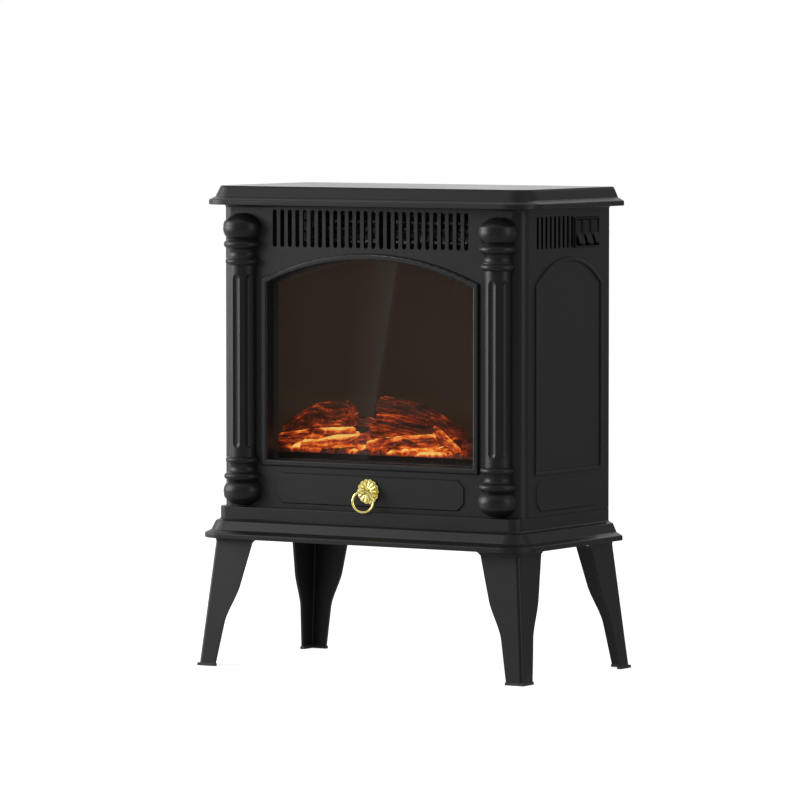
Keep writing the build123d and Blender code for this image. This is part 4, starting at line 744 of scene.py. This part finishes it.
def log_points(path, radii, seed, ridges):
    """Closed log: rings about a bent axis, with lobes and bark on the radius and uneven, drawn-in ends.

    Gives the points with the two poles last, and for each point its relief, its crest and how far
    round to the top it lies (sine of the angle), then the number of rings.
    """
    path = np.array(path) * MM
    gaps = np.linalg.norm(np.diff(path, axis=0), axis=1)
    length = gaps.sum()
    marks = np.concatenate([[0], np.cumsum(gaps)]) / length
    rows = int(length / RING_GAP) + 8
    u = np.linspace(0, 1, rows)[:, None]
    v = (np.arange(LOG_SIDES) * 2 * np.pi / LOG_SIDES)[None, :]
    axis = np.stack([np.interp(u[:, 0], marks, path[:, k]) for k in range(3)], -1)
    for _ in range(AXIS_ROUNDS):
        axis[1:-1] = (axis[:-2] + 2 * axis[1:-1] + axis[2:]) / 4
    radius = np.interp(u, np.linspace(0, 1, len(radii)), radii) * MM
    relief, crest = bark(u, v, seed, ridges, length)
    lobes = 1 + LOBE_HEIGHT * waves(u, v, seed + 4, count=8, round_top=3, along_top=2.0)
    reach = radius * lobes * (BARK_FOOT + BARK_HEIGHT * relief)
    end_gap = np.minimum(u, 1 - u) * length
    taper = np.clip(end_gap / (TAPER_LENGTH * radius), 0, 1)
    reach = reach * (1 - TAPER_DRAW + TAPER_DRAW * np.sqrt(1 - (1 - taper) ** 2))
    deep = axis[:, 1:2] + reach * np.cos(v)
    high = axis[:, 2:3] + reach * np.sin(v)
    points = np.stack(np.broadcast_arrays(axis[:, 0:1], deep, high), -1)
    uneven = END_UNEVEN * radius * waves(u, v, seed + 5, count=10, round_top=6, along_top=1.0)
    along = (path[-1] - path[0]) / np.linalg.norm(path[-1] - path[0])
    near_end = np.exp(-end_gap / (END_REACH * radius))
    points = points + (near_end * uneven)[..., None] * along
    points = np.concatenate([points.reshape(-1, 3), axis[:1], axis[-1:]])
    relief = np.append(relief, [POLE_RELIEF, POLE_RELIEF])
    crest = np.append(crest, [POLE_CREST, POLE_CREST])
    turn = np.append(np.broadcast_to(np.sin(v), (rows, LOG_SIDES)), [0, 0])
    return points, relief, crest, turn, rows


def pane_crossing(x, depth):
    """Where the line of sight to a place behind the pane crosses it, sideways."""
    return x + SIGHT_SHIFT * (depth - PANE_DEPTH)


def log_warmth(points, relief, crest, turn, seed, glow):
    """Warmth of a log's points.

    It is the log's own warmth, more on high relief and less in long charred patches, plus the glow of
    ridge crests. Painted light from the bed below adds warmth near the bed and on undersides, a painted
    highlight warms the upper side, and painted shade dims it all towards the window's ends.
    """
    warmth, crests, upper_highlight = glow
    height = np.clip((points[:, 2] / MM - BED_LEVEL) / BED_REACH, 0, 1)
    along = points[:, 0] / MM / PATCH_LENGTH
    over = points[:, 2] / MM / PATCH_HEIGHT
    patch = waves(along, over, seed + 6, count=14, round_top=3, along_top=2.5)
    along = along * CHAR_ALONG
    over = over * CHAR_OVER
    char = np.clip(waves(along, over, seed + 8, count=14, round_top=3, along_top=2.0) - CHAR_FROM, 0, 1)
    # Painted light: more warmth near the bed and on undersides stands for the bed lighting the logs from
    # below
    total = warmth + NEAR_BED_PAINTED_LIGHT * (1 - height) ** 3 + LOG_PATCH_WARMTH * patch - CHAR_LOSS * char
    total += RELIEF_WARMTH * (relief - RELIEF_MIDDLE)
    total += UNDERSIDE_PAINTED_LIGHT * np.clip(-turn - UNDERSIDE_FROM, 0, 1)
    crest_top = np.clip((crest - CREST_TOP_FROM) / (1 - CREST_TOP_FROM), 0, 1) ** 2
    # Painted highlight along the upper side of the log
    upper = np.clip((turn - UPPER_FROM) / UPPER_WIDTH, 0, 1) ** UPPER_POWER
    crest_share = np.clip(CREST_EVEN + CREST_PATCHY * patch, 0, 1)
    upper_highlight_share = np.clip(UPPER_EVEN + UPPER_PATCHY * patch, 0, 1)
    total += crests * crest_top * crest_share + upper_highlight * upper * upper_highlight_share
    # Painted shade: the warmth is dimmed towards the window's ends, on the right by where the line of
    # sight crosses the pane
    from_left = np.clip((points[:, 0] + LOG_LEFT_END) / LOG_LEFT_WIDTH, 0, 1)
    total *= LOG_LEFT_LEAST + (1 - LOG_LEFT_LEAST) * from_left
    crossing = pane_crossing(points[:, 0], points[:, 1])
    from_right = np.clip((LOG_RIGHT_END - crossing) / LOG_RIGHT_WIDTH, 0, 1)
    total *= LOG_RIGHT_LEAST + (1 - LOG_RIGHT_LEAST) * from_right
    return np.clip(total, COOLEST, HOTTEST)


def build_logs():
    """All logs in one mesh: points, faces and warmth."""
    points, faces, warmth = [], [], []
    start = 0
    for log in LOGS.values():
        own, relief, crest, turn, rows = log_points(log["path"], log["radii"], log["seed"], log["ridges"])
        warmth.append(log_warmth(own, relief, crest, turn, log["seed"], log["glow"]))
        faces += tube_faces(rows, LOG_SIDES, start)
        own[:, 1] += FACE
        points.append(own)
        start += len(own)
    return np.concatenate(points), faces, np.concatenate(warmth)


# Ember bed

# Half width, front and back edge behind the panel, height of the front edge and rise to the back
BED_HALF = 0.1525
BED_FRONT, BED_BACK = 0.0282, 0.1083
BED_HEIGHT = 0.230
BED_SLOPE = 0.25
BED_COLUMNS, BED_ROWS = 380, 104
BED_WALL = 0.0022
# Drops of the three lines of the front skirt under the front edge, lowest first
SKIRT_DROPS = (0.0208, 0.006, 0.001)
SKIRT_WARMTH, REAR_WARMTH = 0.25, 0.1
# Height of the deck, where the rear wall ends
DECK = 0.172

BED_SEED = 5
LUMPS = 900
# Radius of a lump, what it has more within some depth of the front edge, and height in radii
LUMP_RADIUS = (0.0028, 0.0055)
FRONT_LUMP_MORE, FRONT_LUMP_DEPTH = 0.0012, 0.006
LUMP_HEIGHT = (0.55, 0.95)
# Power that crowds the lumps towards the front
LUMP_CROWDING = 1.3
BED_GRAIN = 0.00028
# Units of the waves in a metre sideways and in a metre of depth, for patches and for the grain
PATCH_UNITS, GRAIN_UNITS = (8, 60), (30, 400)

# What makes the bed's warmth: plain, lumps, the band between the logs, patches and hot spots
PLAIN_WARMTH = 0.34
LUMP_WARMTH, LUMP_POWER, FULL_LUMP = 0.52, 1.3, 0.004
BAND_WARMTH, BAND_DEPTH, BAND_WIDTH = 0.30, 0.050, 0.012
BED_PATCH_WARMTH = 0.24
SPOT_WARMTH = 0.48
SPOT_STRETCH = 1.8
# Share of a hot spot's warmth between the lumps
SPOT_ON_PLAIN = 0.5
# Hot spots: sideways, depth behind the panel and reach
HOT_SPOTS = [
    (-0.110, 0.041, 0.008),
    (-0.119, 0.037, 0.006),
    (-0.042, 0.031, 0.006),
    (0.005, 0.030, 0.004),
    (0.045, 0.030, 0.0045),
    (0.063, 0.033, 0.0035),
    (0.078, 0.036, 0.0030),
]

# Painted shade: the bed's warmth is dimmed towards the window's ends, as for the logs
BED_LEFT_END, BED_LEFT_WIDTH, BED_LEFT_LEAST = BED_HALF - 0.004, 0.034, 0.1
BED_RIGHT_END, BED_RIGHT_WIDTH, BED_RIGHT_LEAST = 0.121, 0.030, 0.06


def bed_lumps(x, depth):
    """Round lumps on the bed: for each point the highest dome over it, and that lump's own warmth.

    A dome is its height times the root of 1 - (distance / radius) squared. Centres are scattered
    evenly sideways and more densely to the front.
    """
    rng = np.random.default_rng(BED_SEED)
    centre_x = rng.uniform(-BED_HALF, BED_HALF, LUMPS)
    centre_depth = BED_FRONT + (BED_BACK - BED_FRONT) * rng.uniform(0, 1, LUMPS) ** LUMP_CROWDING
    near = centre_depth < BED_FRONT + FRONT_LUMP_DEPTH
    size = rng.uniform(*LUMP_RADIUS, LUMPS) + FRONT_LUMP_MORE * near
    tall = size * rng.uniform(*LUMP_HEIGHT, LUMPS)
    warm = rng.uniform(0.0, 1.0, LUMPS)
    top = np.zeros((BED_ROWS, BED_COLUMNS))
    owner = np.zeros((BED_ROWS, BED_COLUMNS), int)
    for i in range(LUMPS):
        away = ((x - centre_x[i]) ** 2 + (depth - centre_depth[i]) ** 2) / size[i] ** 2
        dome = tall[i] * np.sqrt(np.clip(1 - away, 0, 1))
        owner = np.where(dome > top, i, owner)
        top = np.maximum(top, dome)
    return top, warm[owner]


def bed_warmth(x, depth, top, warm):
    """Warmth of the bed's top: warm lumps, a band between the logs, patches and round hot spots.

    Painted shade dims it towards the left end, and towards the right end by where the line of sight
    crosses the pane.
    """
    lump = np.clip(top / FULL_LUMP, 0, 1)
    u, v = x * PATCH_UNITS[0], depth * PATCH_UNITS[1]
    patch = waves(u, v, seed=21, count=12, round_top=3, along_top=3.0)
    band = np.exp(-(((depth - BAND_DEPTH) / BAND_WIDTH) ** 2))
    total = PLAIN_WARMTH + LUMP_WARMTH * warm**LUMP_POWER * lump
    total = total + BAND_WARMTH * band + BED_PATCH_WARMTH * patch
    for place, behind, reach in HOT_SPOTS:
        sideways = (x - place) / (SPOT_STRETCH * reach)
        away = sideways**2 + ((depth - behind) / reach) ** 2
        total += SPOT_WARMTH * np.exp(-away) * (SPOT_ON_PLAIN + (1 - SPOT_ON_PLAIN) * lump)
    # Painted shade: the bed's warmth is dimmed towards the window's ends
    total *= np.clip((x + BED_LEFT_END) / BED_LEFT_WIDTH, BED_LEFT_LEAST, 1)
    from_right = (BED_RIGHT_END - pane_crossing(x, depth)) / BED_RIGHT_WIDTH
    return total * np.clip(from_right, BED_RIGHT_LEAST, 1)


def build_bed():
    """Ember bed: one sheet of a front skirt, the rising lumpy top and a rear wall down to the deck.

    The top's height is the front edge's, plus slope times depth, plus the lumps and a fine grain.
    """
    x = np.linspace(-BED_HALF, BED_HALF, BED_COLUMNS)[None, :]
    depth = np.linspace(BED_FRONT, BED_BACK, BED_ROWS)[:, None]
    top, warm = bed_lumps(x, depth)
    u, v = x * GRAIN_UNITS[0], depth * GRAIN_UNITS[1]
    grain = BED_GRAIN * waves(u, v, seed=9, count=30, round_top=9, along_top=9.0)
    height = BED_HEIGHT + BED_SLOPE * (depth - BED_FRONT) + top + grain
    surface = np.stack(np.broadcast_arrays(x, depth, height), -1)
    skirt = surface[:1].repeat(3, 0)
    skirt[:, :, 2] = BED_HEIGHT - np.array(SKIRT_DROPS)[:, None]
    wall = surface[-1:].repeat(2, 0)
    wall[:, :, 2] = np.array([BED_HEIGHT, DECK])[:, None]
    points = np.concatenate([skirt, surface, wall])
    points[:, :, 1] += FACE
    warmth = np.concatenate(
        [
            np.full((3, BED_COLUMNS), SKIRT_WARMTH),
            bed_warmth(x, depth, top, warm),
            np.full((2, BED_COLUMNS), REAR_WARMTH),
        ]
    )
    return points.reshape(-1, 3), [grid_faces(len(points), BED_COLUMNS, False)], warmth.ravel()


def fire():
    """Logs and bed, each in place of its plain solid."""
    points, faces, warmth = build_logs()
    logs = mesh_piece("charred_logs", points, faces, "cabinet", MATERIALS["log_bark"], warmth)
    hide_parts("log_set")
    points, faces, warmth = build_bed()
    bed = mesh_piece("glowing_bed", points, faces, "cabinet", MATERIALS["embers"], warmth)
    shell = bed.modifiers.new("wall", "SOLIDIFY")
    shell.thickness = BED_WALL
    shell.offset = -1
    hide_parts("ember_bed")


def dress_nodes():
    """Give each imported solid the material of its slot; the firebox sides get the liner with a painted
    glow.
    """
    slot_of = {entry["node"]: entry["material_slot"] for entry in frame["record"]["subparts"]}
    for name, node in frame["nodes"].items():
        lit = name.startswith("firebox_side")
        node.data.materials.clear()
        node.data.materials.append(MATERIALS["liner_painted_glow" if lit else slot_of[name]])


# Studio

# Strength of the white surround for rays that light the heater
SURROUND_LIGHT = 0.40
# The floor's own glow for rays that show it, and what the camera sees on top
FLOOR_GLOW = 0.45
FLOOR_SEEN = 0.37
FLOOR_SHADES = ((0.49, 0.49, 0.49), (0.52, 0.52, 0.52))
FLOOR_CLOUD = 1.3
FLOOR_HALF = 30

# Lamps: place, aim, size and watts
LAMPS = {
    "left_key": ((-3.6, -1.6, 1.25), (0, 0, 0.3), (2.6, 2.2), 180),
    "front_fill": ((-1.6, -4.0, 2.8), (0, 0, 0.3), (2.4, 1.6), 18),
    "right_rim": ((3.2, -0.5, 1.1), (0, 0, 0.3), (0.7, 2.0), 26),
    "left_near": ((-1.55, -1.35, 0.8), (0, 0, 0.33), (0.5, 1.0), 8),
}

# Upright grey screens that only reflections see: first and last foot, height, level and fade
SCREENS = {
    "front_screen": ((0.90, -2.85), (2.6, -1.5), 2.5, 0.3, False),
    "shade_screen": ((0.5, -2.3), (-1.35, -1.86), 1.9, 0.3, True),
    "grey_screen": ((3.6, 0.8), (0.4, 3.6), 3, 0.44, False),
}
MAT_CORNERS = [(0.25, -0.1, 0.001), (3.6, 0.8, 0.001), (0.4, 3.6, 0.001), (0.1, 0.5, 0.001)]
MAT_LEVEL = 0.34

# Share of a fading card from which it thins, and how fast
FADE_FROM = 0.62
FADE_POWER = 1.5

# Cards that the pane mirrors, in pixels of the picture: the streak's foot and head part the two near
# ones, and the pale one reaches past them on all sides
STREAK_FOOT, STREAK_HEAD = (364.5, 476), (399.5, 250)
CARD_LEFT, CARD_RIGHT, CARD_TOP, CARD_FOOT = 255, 490, 250, 476
PALE_LEFT, PALE_RIGHT, PALE_TOP, PALE_FOOT = 250, 495, 245, 480
# Distances of the cards from the pane, and how bright they are
CARD_GAP, PALE_GAP = 1.6, 1.65
CARD_LEVEL, PALE_LEVEL = 0.03, 0.30


def seen_white(t):
    """1 for rays that show a surface to the camera, directly, mirrored or through glass."""
    path = t.add("ShaderNodeLightPath")
    seen = t.math("MAXIMUM", path.outputs["Is Camera Ray"], path.outputs["Is Glossy Ray"])
    return t.math("MAXIMUM", seen, path.outputs["Is Transmission Ray"])


def surround():
    """White surround, full white where it is seen and softer where it lights the heater."""
    world = bpy.data.worlds.new("surround")
    bpy.context.scene.world = world
    world.use_nodes = True
    t = Tree(world.node_tree)
    plain = world.node_tree.nodes["Background"]
    plain.inputs["Color"].default_value = (1, 1, 1, 1)
    strength = t.plus(SURROUND_LIGHT, t.times(seen_white(t), 1 - SURROUND_LIGHT))
    t.put(plain.inputs["Strength"], strength)


def stand(name, corners, material):
    """Flat four-cornered stage piece, with u from its first to its second corner."""
    mesh = bpy.data.meshes.new(name)
    mesh.from_pydata([tuple(float(part) for part in corner) for corner in corners], [], [(0, 1, 2, 3)])
    layer = mesh.uv_layers.new(name="span")
    layer.data.foreach_set("uv", [0.0, 0.0, 1.0, 0.0, 1.0, 1.0, 0.0, 1.0])
    mesh.materials.append(material)
    piece = bpy.data.objects.new(name, mesh)
    bpy.context.scene.collection.objects.link(piece)
    return piece


def floor():
    """Pale floor: white to the eye, with a soft shadow under the heater."""
    material, t, shader, place = new_material("pale_floor")
    t.put(shader.inputs["Base Color"], t.mix(t.noise(place, FLOOR_CLOUD), *FLOOR_SHADES))
    shader.inputs["Roughness"].default_value = 1.0
    shader.inputs["Specular IOR Level"].default_value = 0.0
    shader.inputs["Emission Color"].default_value = (1, 1, 1, 1)
    path = t.add("ShaderNodeLightPath")
    seen = t.times(path.outputs["Is Camera Ray"], FLOOR_SEEN)
    t.put(shader.inputs["Emission Strength"], t.plus(t.times(seen_white(t), FLOOR_GLOW), seen))
    corners = [(-1, -1, 0), (1, -1, 0), (1, 1, 0), (-1, 1, 0)]
    stand("floor", [(x * FLOOR_HALF, y * FLOOR_HALF, z) for x, y, z in corners], material)


def card_material(name, level, fade=False):
    """Even grey studio card; with fade it thins to nothing towards its u = 1 edge."""
    material = bpy.data.materials.new(name)
    material.use_nodes = True
    t = Tree(material.node_tree)
    t.tree.nodes.remove(t.tree.nodes["Principled BSDF"])
    light = t.add("ShaderNodeEmission", {"Color": (1.0, 1.0, 1.0), "Strength": level})
    clear = t.add("ShaderNodeBsdfTransparent")
    share = 1.0
    if fade:
        span = t.add("ShaderNodeUVMap", uv_map="span").outputs["UV"]
        split = t.add("ShaderNodeSeparateXYZ", {"Vector": span})
        thinned = t.math("POWER", t.steps(split.outputs["X"], FADE_FROM, 1.0), FADE_POWER)
        share = t.minus(1.0, thinned)
    mixer = t.add("ShaderNodeMixShader", {0: share})
    t.tree.links.new(clear.outputs[0], mixer.inputs[1])
    t.tree.links.new(light.outputs[0], mixer.inputs[2])
    t.tree.links.new(mixer.outputs[0], t.tree.nodes["Material Output"].inputs["Surface"])
    return material


def mirrored_card(name, corners, level, fade=False):
    """Grey card that only shows as a reflection."""
    piece = stand(name, corners, card_material(name, level, fade))
    piece.visible_camera = False
    piece.visible_diffuse = False
    piece.visible_transmission = False
    piece.visible_shadow = False


def mirrored_place(pixel, mirror, distance):
    """Place that a mirror plane facing front shows at a pixel, at a distance from it along the ray."""
    eye = bpy.context.scene.camera
    middle = PICTURE_SIZE / 2
    x = (pixel[0] - middle) / PICTURE_SIZE * CAMERA_SENSOR / CAMERA_LENS
    z = (middle - pixel[1]) / PICTURE_SIZE * CAMERA_SENSOR / CAMERA_LENS
    ray = eye.matrix_basis.to_3x3() @ Vector((x, z, -1))
    start = eye.location
    hit = start + ray * ((mirror - start.y) / ray.y)
    back = Vector((ray.x, -ray.y, ray.z)).normalized()
    return hit + back * distance


def glass_cards():
    """Cards that the pane mirrors: two dim ones parted by the streak's edge, and a paler one behind."""
    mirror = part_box("glass_pane")[0].y
    right = (STREAK_FOOT, (CARD_RIGHT, CARD_FOOT), (CARD_RIGHT, CARD_TOP), STREAK_HEAD)
    left = ((CARD_LEFT, CARD_FOOT), STREAK_FOOT, STREAK_HEAD, (CARD_LEFT, CARD_TOP))
    pale = (
        (PALE_LEFT, PALE_FOOT),
        (PALE_RIGHT, PALE_FOOT),
        (PALE_RIGHT, PALE_TOP),
        (PALE_LEFT, PALE_TOP),
    )
    cards = {
        "glass_card_right": (right, CARD_GAP, CARD_LEVEL, False),
        "glass_card_left": (left, CARD_GAP, CARD_LEVEL, True),
        "glass_card_pale": (pale, PALE_GAP, PALE_LEVEL, False),
    }
    for name, (pixels, gap, level, fade) in cards.items():
        corners = [mirrored_place(pixel, mirror, gap) for pixel in pixels]
        mirrored_card(name, corners, level, fade)


def lamp(name, place, aim, size, watts):
    """Soft rectangular lamp that points at a spot."""
    data = bpy.data.lights.new(name, "AREA")
    data.shape = "RECTANGLE"
    data.size, data.size_y = size
    data.energy = watts
    item = bpy.data.objects.new(name, data)
    item.location = place
    item.rotation_euler = (Vector(aim) - Vector(place)).to_track_quat("-Z", "Y").to_euler()
    bpy.context.scene.collection.objects.link(item)


def studio():
    """White surround and floor, soft lamps, and grey screens and cards for the reflections."""
    bpy.context.scene.view_settings.view_transform = "Standard"
    surround()
    floor()
    for name, (place, aim, size, watts) in LAMPS.items():
        lamp(name, place, aim, size, watts)
    for name, (first, last, height, level, fade) in SCREENS.items():
        corners = [(*first, 0), (*last, 0), (*last, height), (*first, height)]
        mirrored_card(name, corners, level, fade)
    mirrored_card("grey_mat", MAT_CORNERS, MAT_LEVEL)
    glass_cards()


fire()
dress_nodes()
camera()
studio()
